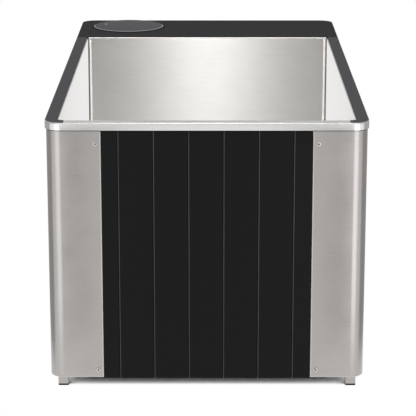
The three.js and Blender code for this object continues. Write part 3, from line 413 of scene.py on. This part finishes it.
def surface(name, tones, roughness, scale, bump, metallic=0.0, grain=EVEN_GRAIN, blotch=0.0,
            specular=0.5, brushed=0.0):
    """A procedural finish: stretched fine grain in colour, roughness and bump, with faint broad blotches."""
    material = bpy.data.materials.new(name)
    material.use_nodes = True
    tree = material.node_tree
    place = add(tree, "ShaderNodeTexCoord").outputs["Object"]
    stretched = add(tree, "ShaderNodeMapping", {"Vector": place, "Scale": grain}).outputs["Vector"]
    lines = {"Vector": stretched, "Scale": scale, "Detail": GRAIN_DETAIL, "Roughness": GRAIN_ROUGHNESS}
    fine = add(tree, "ShaderNodeTexNoise", lines).outputs["Fac"]
    clouds = {"Vector": place, "Scale": BLOTCH_SCALE, "Detail": BLOTCH_DETAIL}
    broad = add(tree, "ShaderNodeTexNoise", clouds).outputs["Fac"]
    mixed = add(tree, "ShaderNodeMix", {"Factor": blotch, "A": fine, "B": broad}).outputs["Result"]
    tone = add(tree, "ShaderNodeValToRGB", {"Fac": mixed})
    for element, position, colour in zip(tone.color_ramp.elements, GRAIN_SPAN, tones):
        element.position = position
        element.color = (*colour, 1)
    gloss = add(tree, "ShaderNodeMapRange", {
        "Value": mixed,
        "From Min": GRAIN_SPAN[0],
        "From Max": GRAIN_SPAN[1],
        "To Min": roughness[0],
        "To Max": roughness[1],
    })
    relief = add(tree, "ShaderNodeBump", {"Strength": bump, "Distance": RELIEF_DEPTH, "Height": fine})
    shader = tree.nodes["Principled BSDF"]
    fill(tree, shader, {
        "Base Color": tone.outputs["Color"],
        "Metallic": metallic,
        "Roughness": gloss.outputs["Result"],
        "Specular IOR Level": specular,
        "Normal": relief.outputs["Normal"],
    })
    if brushed:
        brush(tree, shader, brushed)
    MATERIALS[name] = material


# Steel outside: the panels, the rim, and a copy for the edges that paints the light they catch

OUTER_STEEL = {"metallic": 1.0, "grain": LEVEL_GRAIN, "scale": 900}
surface("brushed_steel", tones=((0.43, 0.411, 0.397), (0.515, 0.492, 0.475)), roughness=(0.26, 0.36),
        bump=0.05, blotch=0.45, brushed=0.6, **OUTER_STEEL)
surface("rim_steel", tones=((0.72, 0.71, 0.695), (0.80, 0.79, 0.775)), roughness=(0.16, 0.22),
        bump=0.04, blotch=0.25, **OUTER_STEEL)
# A copy of the rim steel, a little darker and rougher: on the rim's rounded edges it holds back the
# highlight as painted shade, on the panels' free edges and hem it is paler than the panel steel as painted
# highlight, and the screw heads take it as their finish.
surface("screw_and_painted_edge_steel", tones=((0.63, 0.62, 0.605), (0.70, 0.69, 0.675)), roughness=(0.42, 0.50),
        bump=0.04, blotch=0.25, **OUTER_STEEL)

# Steel of the basin: end walls, side walls, corner folds, rear lip and floor. The side walls, folds and lip
# take a much paler copy of the same steel: painted reflection on the side walls, painted highlight on the
# folds and lip

BASIN_STEEL = {"metallic": 1.0, "scale": 700, "bump": 0.02, "blotch": 0.3}
# Much paler tones of the basin's steel: painted reflection and highlight.
PAINTED_SHINE_TONES = ((0.91, 0.89, 0.87), (0.96, 0.94, 0.92))
surface("basin_steel", tones=((0.60, 0.588, 0.572), (0.68, 0.667, 0.65)), roughness=(0.34, 0.40),
        grain=LEVEL_GRAIN, brushed=1.0, **BASIN_STEEL)
surface("basin_side_painted_reflection", tones=PAINTED_SHINE_TONES, roughness=(0.22, 0.28),
        grain=LEVEL_GRAIN, brushed=0.8, **BASIN_STEEL)
surface("fold_painted_highlight", tones=PAINTED_SHINE_TONES, roughness=(0.34, 0.40),
        grain=LEVEL_GRAIN, brushed=1.0, **BASIN_STEEL)
surface("lip_painted_highlight", tones=PAINTED_SHINE_TONES, roughness=(0.42, 0.50),
        grain=SIDE_TO_SIDE_GRAIN, **BASIN_STEEL)
surface("basin_floor", tones=((0.56, 0.55, 0.535), (0.63, 0.62, 0.605)), roughness=(0.36, 0.44),
        grain=FRONT_TO_REAR_GRAIN, **BASIN_STEEL)

# Boards: the front planks, a paler copy of them for their left chamfers as painted highlight, the deck, and
# a paler copy of the deck board along the sides as painted sheen

DECK = {"roughness": (0.62, 0.75), "scale": 900, "bump": 0.12, "specular": 0.06}
surface("black_board", tones=(grey(0.003), grey(0.0055)), roughness=(0.5, 0.62),
        grain=UPRIGHT_GRAIN, scale=500, bump=0.15, specular=0.2)
# A paler copy of the black board for the left chamfers: painted highlight.
surface("chamfer_painted_highlight", tones=(grey(0.13), grey(0.19)), roughness=(0.4, 0.5),
        grain=UPRIGHT_GRAIN, scale=300, bump=0.1)
surface("deck_board", tones=((0.0264, 0.026, 0.0284), (0.039, 0.0384, 0.042)), **DECK)
# A paler copy of the deck board for the side decks and corner caps: painted sheen.
surface("deck_painted_sheen", tones=((0.086, 0.086, 0.094), (0.123, 0.123, 0.134)), **DECK)

# Filter lid, and a paler copy for its outer edge as painted highlight

surface("lid_grey", tones=((0.067, 0.0665, 0.076), (0.082, 0.0815, 0.093)), roughness=(0.45, 0.55),
        scale=1200, bump=0.06, specular=0.15)
surface("lid_edge_painted_highlight", tones=((0.25, 0.25, 0.26), (0.31, 0.31, 0.322)), roughness=(0.28, 0.36),
        scale=1200, bump=0.03, specular=0.8)

# Rubber, foam, plastics, other metals and paper

surface("rubber", tones=(grey(0.003), grey(0.006)), roughness=(0.75, 0.9),
        scale=800, bump=0.15, specular=0.04)
surface("foam", tones=((0.66, 0.60, 0.44), (0.80, 0.74, 0.58)), roughness=(0.85, 0.95),
        scale=250, bump=0.5)
surface("white_plastic", tones=((0.74, 0.74, 0.72), (0.80, 0.80, 0.78)), roughness=(0.35, 0.45),
        scale=600, bump=0.05)
surface("black_plastic", tones=((0.012, 0.012, 0.013), (0.018, 0.018, 0.019)), roughness=(0.4, 0.55),
        scale=1500, bump=0.1)
surface("black_steel", tones=((0.02, 0.02, 0.022), (0.03, 0.03, 0.032)), roughness=(0.35, 0.5),
        scale=700, bump=0.1, metallic=0.5)
surface("aluminium", tones=((0.52, 0.53, 0.55), (0.62, 0.63, 0.65)), roughness=(0.3, 0.45),
        scale=500, bump=0.1, metallic=1.0)
surface("brass", tones=((0.50, 0.33, 0.10), (0.60, 0.42, 0.15)), roughness=(0.25, 0.38),
        scale=400, bump=0.05, metallic=1.0)
surface("filter_paper", tones=((0.78, 0.78, 0.75), (0.88, 0.88, 0.86)), roughness=(0.85, 0.95),
        scale=900, bump=0.25)


# Frame nodes keep their shapes and get eased edges and a finish


def dress_frame():
    for name, slot in SLOTS.items():
        node = nodes[name]
        node.data.materials.clear()
        node.data.materials.append(MATERIALS[FINISHES.get(name, slot)])
        if "custom_normal" in node.data.attributes:
            node.data.attributes.remove(node.data.attributes["custom_normal"])
        node.data.shade_smooth()
        weld = node.modifiers.new("weld", "WELD")
        weld.merge_threshold = WELD_REACH
        ease = node.modifiers.new("eased edges", "BEVEL")
        ease.width = BEVELS.get(slot, SMALL_BEVEL)
        ease.segments = BEVEL_SEGMENTS
        ease.limit_method = "ANGLE"
        ease.angle_limit = math.radians(BEVEL_ANGLE)
        ease.use_clamp_overlap = True
        normals = node.modifiers.new("face normals", "WEIGHTED_NORMAL")
        normals.weight = NORMAL_WEIGHT


# Corner panels: sheet bent round each corner, with bent free edges and a hem along the bottom


def corner_path(body_x, body_y, leg):
    """Plan points and outward directions of a panel's outer face in the +X +Y quarter."""
    leg_x = body_x - leg
    leg_y = body_y - leg
    path = arc(leg_x + EDGE_BEND, body_y - EDGE_BEND, EDGE_BEND, 180, 90, BEND_STEPS)
    path += arc(body_x - BODY_RADIUS, body_y - BODY_RADIUS, BODY_RADIUS, 90, 0, CORNER_STEPS)
    path += arc(body_x - EDGE_BEND, leg_y + EDGE_BEND, EDGE_BEND, 0, -90, BEND_STEPS)
    return path


def panel_profile(bottom, top):
    """Inward offsets and heights round the sheet, with its folded hem."""
    hem_top = bottom + HEM_HEIGHT
    profile = [(0, top), (0, hem_top)]
    profile += arc_points(HEM_RADIUS, bottom + HEM_RADIUS, HEM_RADIUS, 180, 360, ROUND_STEPS)
    profile += [(2 * HEM_RADIUS, hem_top), (SHEET, hem_top + SHEET), (SHEET, top)]
    return profile


def corner_panel(node, sign_x, sign_y):
    low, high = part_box(node)
    body_x = max(abs(low.x), abs(high.x))
    body_y = max(abs(low.y), abs(high.y))
    leg = high.x - low.x
    profile = panel_profile(low.z, high.z)
    rings = []
    for station in corner_path(body_x, body_y, leg):
        rings.append([(sign_x * x, sign_y * y, z) for x, y, z in offset_ring(station, profile)])
    panel = make(f"steel_{node}", [loft(rings)], "brushed_steel", replaces=[node])

    def free_edge(face):
        x, y, z = face.center
        across_front = abs(x) < body_x - leg + EDGE_BEND
        along_side = abs(y) < body_y - leg + EDGE_BEND
        return across_front or along_side or z < low.z + HEM_RADIUS

    # The free edges and the hem take the paler edge steel: painted highlight.
    paint(panel, "screw_and_painted_edge_steel", free_edge)


def corner_panels():
    for end, sign_y in ENDS:
        for side, sign_x in SIDES:
            corner_panel(f"corner_panel_{end}_{side}", sign_x, sign_y)


# Front boards: planks with a tongue, whose left chamfers are painted paler as painted highlight and show as
# lines between them


def board_outline(left, right, front, back):
    """Plan of a board with two chamfers at the front and a tongue on its right edge."""
    shoulder = front + BOARD_CHAMFER
    middle = (shoulder + back) / 2
    tip = right + BOARD_TONGUE
    return [
        (left + BOARD_CHAMFER, front),
        (right - BOARD_CHAMFER, front),
        (right, shoulder),
        (right, middle - TONGUE_HALF),
        (tip, middle - TONGUE_HALF),
        (tip, middle + TONGUE_HALF),
        (right, middle + TONGUE_HALF),
        (right, back),
        (left, back),
        (left, shoulder),
    ]


def left_chamfer(face):
    return face.normal.x < -SLANT_FACING and face.normal.y < -SLANT_FACING


def front_boards():
    names = sorted(name for name in nodes if name.startswith("front_board_"))
    for name in names:
        low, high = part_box(name)
        left = low.x + (0 if name == names[0] else GROOVE_SHIFT)
        right = high.x - BOARD_TONGUE + (0 if name == names[-1] else GROOVE_SHIFT)
        plank = upright(board_outline(left, right, low.y, high.y), low.z, high.z)
        board = make(f"plank_{name}", [plank], "black_board", replaces=[name])
        # The left chamfers take the paler copy: painted highlight.
        paint(board, "chamfer_painted_highlight", left_chamfer)


# Front rim: a band round the front corners, folded back into a top strip across the front


def rim_face(bottom, top):
    """Inward offsets and heights up the rim's face, which swells slightly and rounds over at the top."""
    shoulder = top - RIM_ROUNDING
    face = []
    for i in range(RIM_STEPS + 1):
        share = i / RIM_STEPS
        face.append((RIM_SWELL * (1 - math.sin(math.pi * share)), bottom + (shoulder - bottom) * share))
    return face + arc_points(RIM_SWELL + RIM_ROUNDING, shoulder, RIM_ROUNDING, 180, 90, ROUND_STEPS)[1:]


def rim_section(bottom, top, depth):
    """A closed section that reaches to a depth behind the front face, with its rear edge bent if deep."""
    bend = STRIP_BEND if depth > RIM_ROUNDING + STRIP_BEND else 0
    face = [(min(inward, depth), z) for inward, z in rim_face(bottom, top)]
    rear = arc_points(depth - bend, top - bend, bend, 90, 0, STRIP_BEND_STEPS)
    under = top - STRIP_THICKNESS
    return face + rear + [(depth, under), (RIM_WALL, under), (RIM_WALL, bottom)]


def rim_corners(low, high):
    """Plan points and outward directions round the left and the right front corner."""
    x = high.x - CORNER_RADIUS
    y = low.y + CORNER_RADIUS
    left = arc(-x, y, CORNER_RADIUS, 180, 270, CORNER_STEPS)
    right = arc(x, y, CORNER_RADIUS, 270, 360, CORNER_STEPS)
    return left, right


def rounded(face):
    return 1 - FLAT_FACING < face.normal.z < FLAT_FACING


def front_rim():
    low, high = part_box("front_rim")
    # The rim stops short of its box at the bottom, leaving room for the dark strip of painted shadow.
    bottom = low.z + SHADOW_STRIP_HEIGHT
    thin = rim_section(bottom, high.z, RIM_WALL)
    thick = rim_section(bottom, high.z, STRIP_DEPTH)
    strip_x = -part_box("corner_cap_left")[1].x - STRIP_SEAM
    strip_left = ((-strip_x, low.y), (0, -1))
    strip_right = ((strip_x, low.y), (0, -1))
    left, right = rim_corners(low, high)
    rings = [offset_ring(station, thin) for station in left + [strip_left]]
    rings += [offset_ring(station, thick) for station in (strip_left, strip_right)]
    rings += [offset_ring(station, thin) for station in [strip_right] + right]
    rim = make("steel_front_rim", [loft(rings)], "brushed_steel", replaces=["front_rim"], finish="rim_steel")
    # The rim's rounded edges take the darker edge steel, which holds back their highlight: painted shade.
    paint(rim, "screw_and_painted_edge_steel", rounded)


def rim_shadow_strip():
    """A thin dark strip in the joint between the rim and the panels below it: painted shadow under the rim.
    """
    low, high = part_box("front_rim")
    bottom = low.z - SHADOW_STRIP_DROP
    top = low.z + SHADOW_STRIP_HEIGHT
    proud = BODY_INSET - SHADOW_STRIP_PROUD
    section = [(proud, bottom), (proud, top), (BODY_INSET, top), (BODY_INSET, bottom)]
    left, right = rim_corners(low, high)
    rings = [offset_ring(station, section) for station in left + right]
    make("rim_shadow_strip", [loft(rings)], "rubber")


# Basin: one folded sheet with rounded corners and a bend into its flange


def plan_ring(half_x, front, rear, radius, z):
    """A rounded rectangle at a height, from the right side round by the rear."""
    x = half_x - radius
    centres = ((x, rear - radius), (-x, rear - radius), (-x, front + radius), (x, front + radius))
    points = []
    for quarter, (centre_x, centre_y) in enumerate(centres):
        start = 90 * quarter
        points += arc_points(centre_x, centre_y, radius, start, start + 90, ROUND_STEPS)
    return [(x, y, z) for x, y in points]


def basin_ring(grow, z):
    """The basin's plan at a height, grown outward from its inside walls."""
    return plan_ring(BASIN_HALF + grow, BASIN_FRONT - grow, BASIN_REAR + grow, BASIN_CORNER + grow, z)


def inside_profile(bottom, top):
    """Outward offsets and heights from the flange down to the floor, on the side of the water."""
    profile = [(BASIN_FLANGE, top)]
    profile += arc_points(BASIN_TOP_BEND, top - BASIN_TOP_BEND, BASIN_TOP_BEND, 90, 180, BEND_STEPS)
    profile += arc_points(-BASIN_FLOOR_BEND, bottom + BASIN_FLOOR_BEND, BASIN_FLOOR_BEND, 0, -90, BEND_STEPS)
    return profile


def outside_profile(bottom, top):
    """Outward offsets and heights from the floor up to the flange, on the hidden side."""
    outer_bend = BASIN_FLOOR_BEND + SHEET
    profile = [(-BASIN_FLOOR_BEND, bottom - SHEET)]
    profile += arc_points(-BASIN_FLOOR_BEND, bottom + BASIN_FLOOR_BEND, outer_bend, -90, 0, BEND_STEPS)
    profile.append((SHEET, top - BASIN_TOP_BEND))
    profile.append((BASIN_TOP_BEND, top - SHEET))
    profile.append((BASIN_FLANGE, top - SHEET))
    return profile


def floor_strips(ring, first):
    """Quads from side to side over a ring that is the same on both sides, numbered from its first point."""
    by_depth = sorted(range(len(ring)), key=lambda i: ring[i][1])
    left = [first + i for i in by_depth if ring[i][0] < 0]
    right = [first + i for i in by_depth if ring[i][0] > 0]
    return list(zip(left, right, right[1:], left[1:]))


def facing_sideways(face):
    return abs(face.normal.x) > BEND_FACING and abs(face.normal.y) < 1 - FLAT_FACING


def level(face):
    return abs(face.normal.z) > FLAT_FACING


def basin():
    low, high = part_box("basin")
    bottom = low.z + SHEET
    inner_rings = [basin_ring(outward, z) for outward, z in inside_profile(bottom, high.z)]
    outer_rings = [basin_ring(outward, z) for outward, z in outside_profile(bottom, high.z)]
    skin_corners, skin_faces = loft(inner_rings, caps=False)
    skin_faces += floor_strips(inner_rings[-1], len(skin_corners) - len(inner_rings[-1]))
    shell_corners, shell_faces = loft(outer_rings, caps=False)
    shell_faces.append(tuple(range(len(outer_rings[0]))))
    brim = loft([inner_rings[0], outer_rings[-1]], caps=False)
    parts = [(skin_corners, skin_faces), (shell_corners, shell_faces), brim]
    sheet = make("steel_basin", parts, "basin_steel", replaces=["basin"])
    # The side walls take the paler copy of the steel: painted reflection.
    paint(sheet, "basin_side_painted_reflection", facing_sideways)
    paint(sheet, "basin_floor", level)
    for face in sheet.data.polygons:
        face.use_smooth = not level(face)


def basin_folds():
    """An upright fold in each rear corner, turned a little toward the middle, painted pale as a painted
    highlight.
    """
    low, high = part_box("basin")
    bottom = low.z + SHEET + BASIN_FLOOR_BEND
    top = high.z - BASIN_TOP_BEND
    lift = FOLD_LIFT + (FOLD_INNER - FOLD_OUTER) * math.tan(math.radians(FOLD_TILT))
    folds = []
    for _, side in SIDES:
        inner = side * (BASIN_HALF - FOLD_INNER)
        outer = side * (BASIN_HALF - FOLD_OUTER)
        outline = [
            (inner, BASIN_REAR),
            (inner, BASIN_REAR - FOLD_LIFT),
            (outer, BASIN_REAR - lift),
            (outer, BASIN_REAR),
        ]
        folds.append(upright(outline, bottom, top))
    make("basin_corner_folds", folds, "basin_steel", finish="fold_painted_highlight")


def basin_lip():
    """A thin round lip along the basin's rear edge, painted pale as a painted highlight."""
    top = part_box("basin")[1].z
    edge = arc_points(BASIN_REAR + LIP_RADIUS, top + LIP_RADIUS, LIP_RADIUS, 0, 360, LIP_STEPS)[:-1]
    reach = BASIN_HALF - LIP_RADIUS
    lip = loft([[(x, y, z) for y, z in edge] for x in (-reach, reach)])
    make("basin_rear_lip", [lip], "basin_steel", finish="lip_painted_highlight")


# Filter lid: a crowned disc with its outer edge painted paler as painted highlight and a plug below, on a
# gasket that shows as a dark ring


def lid_disc():
    low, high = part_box("filter_lid")
    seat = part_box("lid_gasket")[1].z - LID_SEAT
    centre = (low + high) / 2
    radius = (high.x - low.x) / 2
    top = high.z
    crown_foot = top - LID_CROWN
    profile = [
        (0, top),
        (LID_CROWN_START, top),
        (LID_FACE - LID_EASE, crown_foot),
        (LID_FACE, crown_foot - LID_ARRIS),
        (radius - LID_LIP, seat + LID_SHOULDER),
        (radius, seat + LID_LIP),
        (radius, seat),
        (PLUG_RADIUS, seat),
        (PLUG_RADIUS, low.z),
        (PLUG_INNER, low.z),
        (PLUG_INNER, top - PLUG_DEPTH),
        (0, top - PLUG_DEPTH),
    ]
    disc = make("filter_lid_disc", [moved(lathe(profile), (centre.x, centre.y, 0))], "lid_grey", body="lid",
                replaces=["filter_lid"], sharp=LID_SHARP_ANGLE)

    def edge_highlight_faces(face):
        from_centre = math.hypot(face.center.x - centre.x, face.center.y - centre.y)
        return from_centre > LID_FACE and face.normal.z > SLANT_FACING

    # The up-facing faces of the outer edge take the paler copy: painted highlight.
    paint(disc, "lid_edge_painted_highlight", edge_highlight_faces)


def lid_gasket():
    low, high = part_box("lid_gasket")
    centre = (low + high) / 2
    outer = (high.x - low.x) / 2 + GASKET_SPREAD
    ring = [
        (GASKET_INNER, low.z),
        (outer - LID_LIP, low.z),
        (outer, low.z + LID_LIP),
        (outer - LID_LIP, high.z),
        (GASKET_INNER, high.z),
        (GASKET_INNER, low.z),
    ]
    make("gasket_ring", [moved(lathe(ring), (centre.x, centre.y, 0))], "rubber", body="lid",
         replaces=["lid_gasket"])


# Screws: a round head with a six-sided socket painted near black as painted shade

SCREW_ANGLES = [2 * math.pi * i / SCREW_SIDES for i in range(SCREW_SIDES)]


def circle(radius, z):
    return [(radius * math.cos(angle), radius * math.sin(angle), z) for angle in SCREW_ANGLES]


def hexagon(radius, z):
    """A six-sided ring with as many points as a circle, its corners at the radius."""
    side = math.pi / 3
    points = []
    for angle in SCREW_ANGLES:
        from_middle = (angle + side / 2) % side - side / 2
        reach = radius * math.cos(side / 2) / math.cos(from_middle)
        points.append((reach * math.cos(angle), reach * math.sin(angle), z))
    return points


def socket_screw(radius, height, shank_length):
    """A round head along +Z with its underside at zero, a hexagon socket and a shank below."""
    socket = SOCKET_SHARE * radius
    rings = [circle(SCREW_SHANK, -shank_length), circle(SCREW_SHANK, 0.0)]
    rings += [circle(radius * wide, height * high) for high, wide in HEAD_OUTLINE]
    rings += [hexagon(socket, height), hexagon(socket, height * SOCKET_FLOOR)]
    return loft(rings)


def screw(node):
    low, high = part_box(node)
    centre = (low + high) / 2
    radius = (high.x - low.x) / 2
    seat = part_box("corner_panel_front_left")[0].y - SCREW_LIFT
    part = turned_to_front(socket_screw(radius, seat - low.y, high.y - seat))
    piece = make(f"socket_{node}", [moved(part, (centre.x, seat, centre.z))], "brushed_steel",
                 replaces=[node], sharp=SCREW_SHARP_ANGLE, finish="screw_and_painted_edge_steel")

    def socket_painted_shade(face):
        from_axis = math.hypot(face.center.x - centre.x, face.center.z - centre.z)
        return from_axis < SOCKET_SHARE * radius and face.center.y < seat

    # The socket's faces are painted near black: painted shade in the recess.
    paint(piece, "black_steel", socket_painted_shade)


def screws():
    for side, _ in SIDES:
        for place in ("lower", "upper"):
            screw(f"screw_{side}_{place}")


# Rear louvres: a pressed hood over each slot, tapering into the sheet at both ends


def louvre_hood(centre, sill, face):
    top = sill + LOUVRE_HEIGHT + HOOD_LAP
    knee = top - 2 * HOOD_LAP
    lip = sill + HOOD_LAP
    rings = []
    for i in range(HOOD_STATIONS + 1):
        share = 2 * i / HOOD_STATIONS - 1
        reach = HOOD_RISE * (1 - share ** HOOD_TAPER_POWER)
        x = centre + LOUVRE_HALF * share * HOOD_STRETCH
        section = [
            (face - HOOD_SHEET, top),
            (face, top),
            (face + HOOD_KNEE * reach, knee),
            (face + reach, lip),
            (face + reach - HOOD_SHEET, lip),
            (face + HOOD_KNEE * reach - HOOD_SHEET, knee),
        ]
        rings.append([(x, y, z) for y, z in section])
    return loft(rings)


def louvres():
    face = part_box("rear_panel")[1].y
    hoods = []
    for centre in LOUVRE_CENTRES:
        for row in range(LOUVRE_ROWS):
            hoods.append(louvre_hood(centre, LOUVRE_BOTTOM + row * LOUVRE_PITCH, face))
    make("rear_louvre_hoods", hoods, "brushed_steel", sharp=HOOD_SHARP_ANGLE)


# Grilles over the suction fitting and the drain


def grille(radius):
    """Rings joined by two crossed bars, lying on the plane of zero height."""
    reach = GRILLE_SHARE * radius
    half = GRILLE_WIRE / 2
    bar_low = half / 2
    bar_high = bar_low + half
    parts = []
    for i in range(GRILLE_RINGS):
        middle = reach * (i + 1) / GRILLE_RINGS - half
        wire = arc_points(0, 0, half, 0, 360, ROUND_STEPS)
        parts.append(lathe([(middle + x, z + half) for x, z in wire], GRILLE_SIDES))
    parts.append(bar((-reach, -half, bar_low), (reach, half, bar_high)))
    parts.append(bar((-half, -reach, bar_low), (half, reach, bar_high)))
    return parts


def suction_grille():
    low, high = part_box("suction_fitting")
    centre = (low + high) / 2
    place = (centre.x, low.y - GRILLE_LIFT, centre.z)
    parts = [moved(turned_to_front(part), place) for part in grille((high.x - low.x) / 2)]
    make("suction_grille", parts, SLOTS["suction_fitting"])


def drain_grille():
    low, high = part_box("drain_strainer")
    centre = (low + high) / 2
    place = (centre.x, centre.y, high.z + GRILLE_LIFT)
    parts = [moved(part, place) for part in grille((high.x - low.x) / 2)]
    make("drain_grille", parts, SLOTS["drain_strainer"])


# Camera


def camera():
    data = bpy.data.cameras.new("camera")
    data.sensor_width = SENSOR
    data.lens = FOCAL_PIXELS / IMAGE_SIDE * SENSOR
    data.clip_end = CAMERA_REACH
    eye = bpy.data.objects.new("camera", data)
    eye.location = CAMERA_PLACE
    eye.rotation_euler = (math.radians(90 - CAMERA_PITCH), 0, math.radians(CAMERA_YAW))
    bpy.context.scene.collection.objects.link(eye)
    bpy.context.scene.camera = eye


# Studio: a pale rear backdrop, a narrow light overhead and a soft light at each side, seen as plain white


def studio():
    world = bpy.data.worlds.new("studio")
    bpy.context.scene.world = world
    world.use_nodes = True
    tree = world.node_tree
    direction = add(tree, "ShaderNodeTexCoord").outputs["Generated"]

    def toward(axis):
        """How far a direction agrees with an axis, from -1 to 1."""
        inputs = {0: direction, 1: Vector(axis).normalized()}
        return add(tree, "ShaderNodeVectorMath", inputs, operation="DOT_PRODUCT").outputs["Value"]

    backdrop = fade(tree, toward((0, 1, 0)), BACKDROP_FADE, BACKDROP)
    sideways = maths(tree, "ABSOLUTE", toward((1, 0, 0)))
    narrow = maths(tree, "SUBTRACT", 1.0, fade(tree, sideways, STRIP_SIDE_FADE))
    strip = maths(tree, "MULTIPLY", fade(tree, toward((0, 0, 1)), STRIP_FADE, STRIP_LIGHT), narrow)
    total = maths(tree, "ADD", maths(tree, "ADD", backdrop, strip), STUDIO_BASE)
    azimuth = math.radians(SIDE_AZIMUTH)
    for _, side in SIDES:
        axis = (side * math.sin(azimuth), -math.cos(azimuth), SIDE_RISE)
        total = maths(tree, "ADD", total, fade(tree, toward(axis), SIDE_FADE, SIDE_LIGHT))
    seen = add(tree, "ShaderNodeLightPath").outputs["Is Camera Ray"]
    hidden = maths(tree, "MULTIPLY", total, maths(tree, "SUBTRACT", 1.0, seen))
    strength = maths(tree, "ADD", hidden, seen)
    fill(tree, tree.nodes["Background"], {"Color": (1, 1, 1, 1), "Strength": strength})


def stage_plane(name, centre, across, up):
    """A flat piece of the stage by its centre and its two half sides, with the tree of its bare material."""
    middle = Vector(centre)
    across = Vector(across)
    up = Vector(up)
    corners = [middle - across - up, middle + across - up, middle + across + up, middle - across + up]
    mesh = bpy.data.meshes.new(name)
    mesh.from_pydata(corners, [], [(0, 1, 2, 3)])
    plane = bpy.data.objects.new(name, mesh)
    bpy.context.scene.collection.objects.link(plane)
    material = bpy.data.materials.new(name)
    material.use_nodes = True
    tree = material.node_tree
    tree.nodes.remove(tree.nodes["Principled BSDF"])
    mesh.materials.append(material)
    return plane, tree


# Floor: white where it is seen or reflected, darker close to what stands on it, and plain for other light


def studio_floor():
    half = FLOOR_SIDE / 2
    ground, tree = stage_plane("floor", centre=(0, 0, 0), across=(half, 0, 0), up=(0, half, 0))
    rays = add(tree, "ShaderNodeLightPath").outputs
    seen = rays["Is Camera Ray"]
    for kind in ("Is Glossy Ray", "Is Transmission Ray"):
        seen = maths(tree, "MAXIMUM", seen, rays[kind])
    contact = add(tree, "ShaderNodeAmbientOcclusion", {"Distance": CONTACT_REACH}, samples=CONTACT_SAMPLES)
    open_share = fade(tree, contact.outputs["AO"], CONTACT_FADE)
    white = add(tree, "ShaderNodeEmission", {"Strength": open_share}).outputs["Emission"]
    plain = add(tree, "ShaderNodeBsdfDiffuse", {"Color": (*grey(FLOOR_BOUNCE), 1)}).outputs["BSDF"]
    show(tree, add(tree, "ShaderNodeMixShader", {"Fac": seen, 1: plain, 2: white}).outputs["Shader"])


# Cards that only reflections show: pale ones above, at the sides and on the floor, dark ones further out


def card(name, centre, across, up, radiance):
    """A flat card by its centre and its two half sides."""
    plane, tree = stage_plane(name, centre, across, up)
    glow = add(tree, "ShaderNodeEmission", {"Strength": radiance}).outputs["Emission"]
    show(tree, glow)
    plane.visible_camera = False
    plane.visible_diffuse = False
    plane.visible_shadow = False
    plane.visible_transmission = False
    return tree, glow


def level_card(name, centre, half_x, half_y, radiance):
    """A card that lies flat."""
    card(name, centre, (half_x, 0, 0), (0, half_y, 0), radiance)


def upright_card(name, centre, half_x, half_z, radiance):
    """A card that stands across the view from the front."""
    card(name, centre, (half_x, 0, 0), (0, 0, half_z), radiance)


def wall_card():
    """A card before the rear wall that only the first reflection in the side walls shows."""
    low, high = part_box("basin")
    middle = (0, BASIN_REAR - WALL_CARD_GAP, (low.z + high.z) / 2)
    up = (0, 0, (high.z - low.z) / 2)
    tree, glow = card("wall_card", middle, (BASIN_HALF, 0, 0), up, WALL_CARD_GLOW)
    bounces = add(tree, "ShaderNodeLightPath").outputs["Glossy Depth"]
    first = maths(tree, "LESS_THAN", bounces, FIRST_BOUNCE)
    behind = add(tree, "ShaderNodeNewGeometry").outputs["Backfacing"]
    ahead = maths(tree, "SUBTRACT", first, behind, clamp=True)
    clear = add(tree, "ShaderNodeBsdfTransparent").outputs["BSDF"]
    show(tree, add(tree, "ShaderNodeMixShader", {"Fac": ahead, 1: clear, 2: glow}).outputs["Shader"])


def side_cards(side):
    """The cards on one side of the tub, by its sign along X, numbered 1 on the left and 3 on the right."""
    number = side + 2
    card(f"side_card_{number}", centre=(side * 0.572, -1.172, STANDING_HALF),
         across=(side * 0.135, 0.066, 0), up=(0, 0, STANDING_HALF),
         radiance=SIDE_CARD_GLOW + SIDE_CARD_SKEW * side)
    card(f"dark_card_{number}", centre=(side * 0.64, 0.02, STANDING_HALF),
         across=(0, 0.83, 0), up=(0, 0, STANDING_HALF), radiance=0.46)
    level_card(f"near_card_{number}", centre=(side * 0.38, -1.55, CARD_LIFT),
               half_x=0.1, half_y=0.35, radiance=0.68)
    upright_card(f"gloom_card_{number}", centre=(side * 1.2, -4.2, 1.3),
                 half_x=0.9, half_z=0.7, radiance=0.05)
    level_card(f"roof_card_{number}", centre=(side * 1.0, -1.8, 2.0),
               half_x=0.8, half_y=2.4, radiance=0.05)
    level_card(f"far_card_{number}", centre=(side * 0.5, -3.6, CARD_LIFT),
               half_x=0.14, half_y=1.7, radiance=0.48)


def cards():
    level_card("strip_card", centre=(0, -0.9, 2.2), half_x=0.12, half_y=1.6, radiance=10.0)
    upright_card("front_card", centre=(0, -4.5, 2.3), half_x=0.2, half_z=0.9, radiance=2.0)
    wall_card()
    upright_card("low_card", centre=(0, 2.0, 1.3), half_x=1.2, half_z=0.45, radiance=0.55)
    level_card("edge_card", centre=(0, -0.85, 1.9), half_x=0.7, half_y=0.12, radiance=2.5)
    level_card("lip_card", centre=(0, 0.45, 1.9), half_x=0.7, half_y=0.25, radiance=2.2)
    for _, side in SIDES:
        side_cards(side)


dress_frame()
corner_panels()
front_boards()
front_rim()
rim_shadow_strip()
basin()
basin_folds()
basin_lip()
lid_disc()
lid_gasket()
screws()
louvres()
suction_grille()
drain_grille()
camera()
studio()
cards()
studio_floor()

bpy.context.scene.view_settings.view_transform = "Standard"
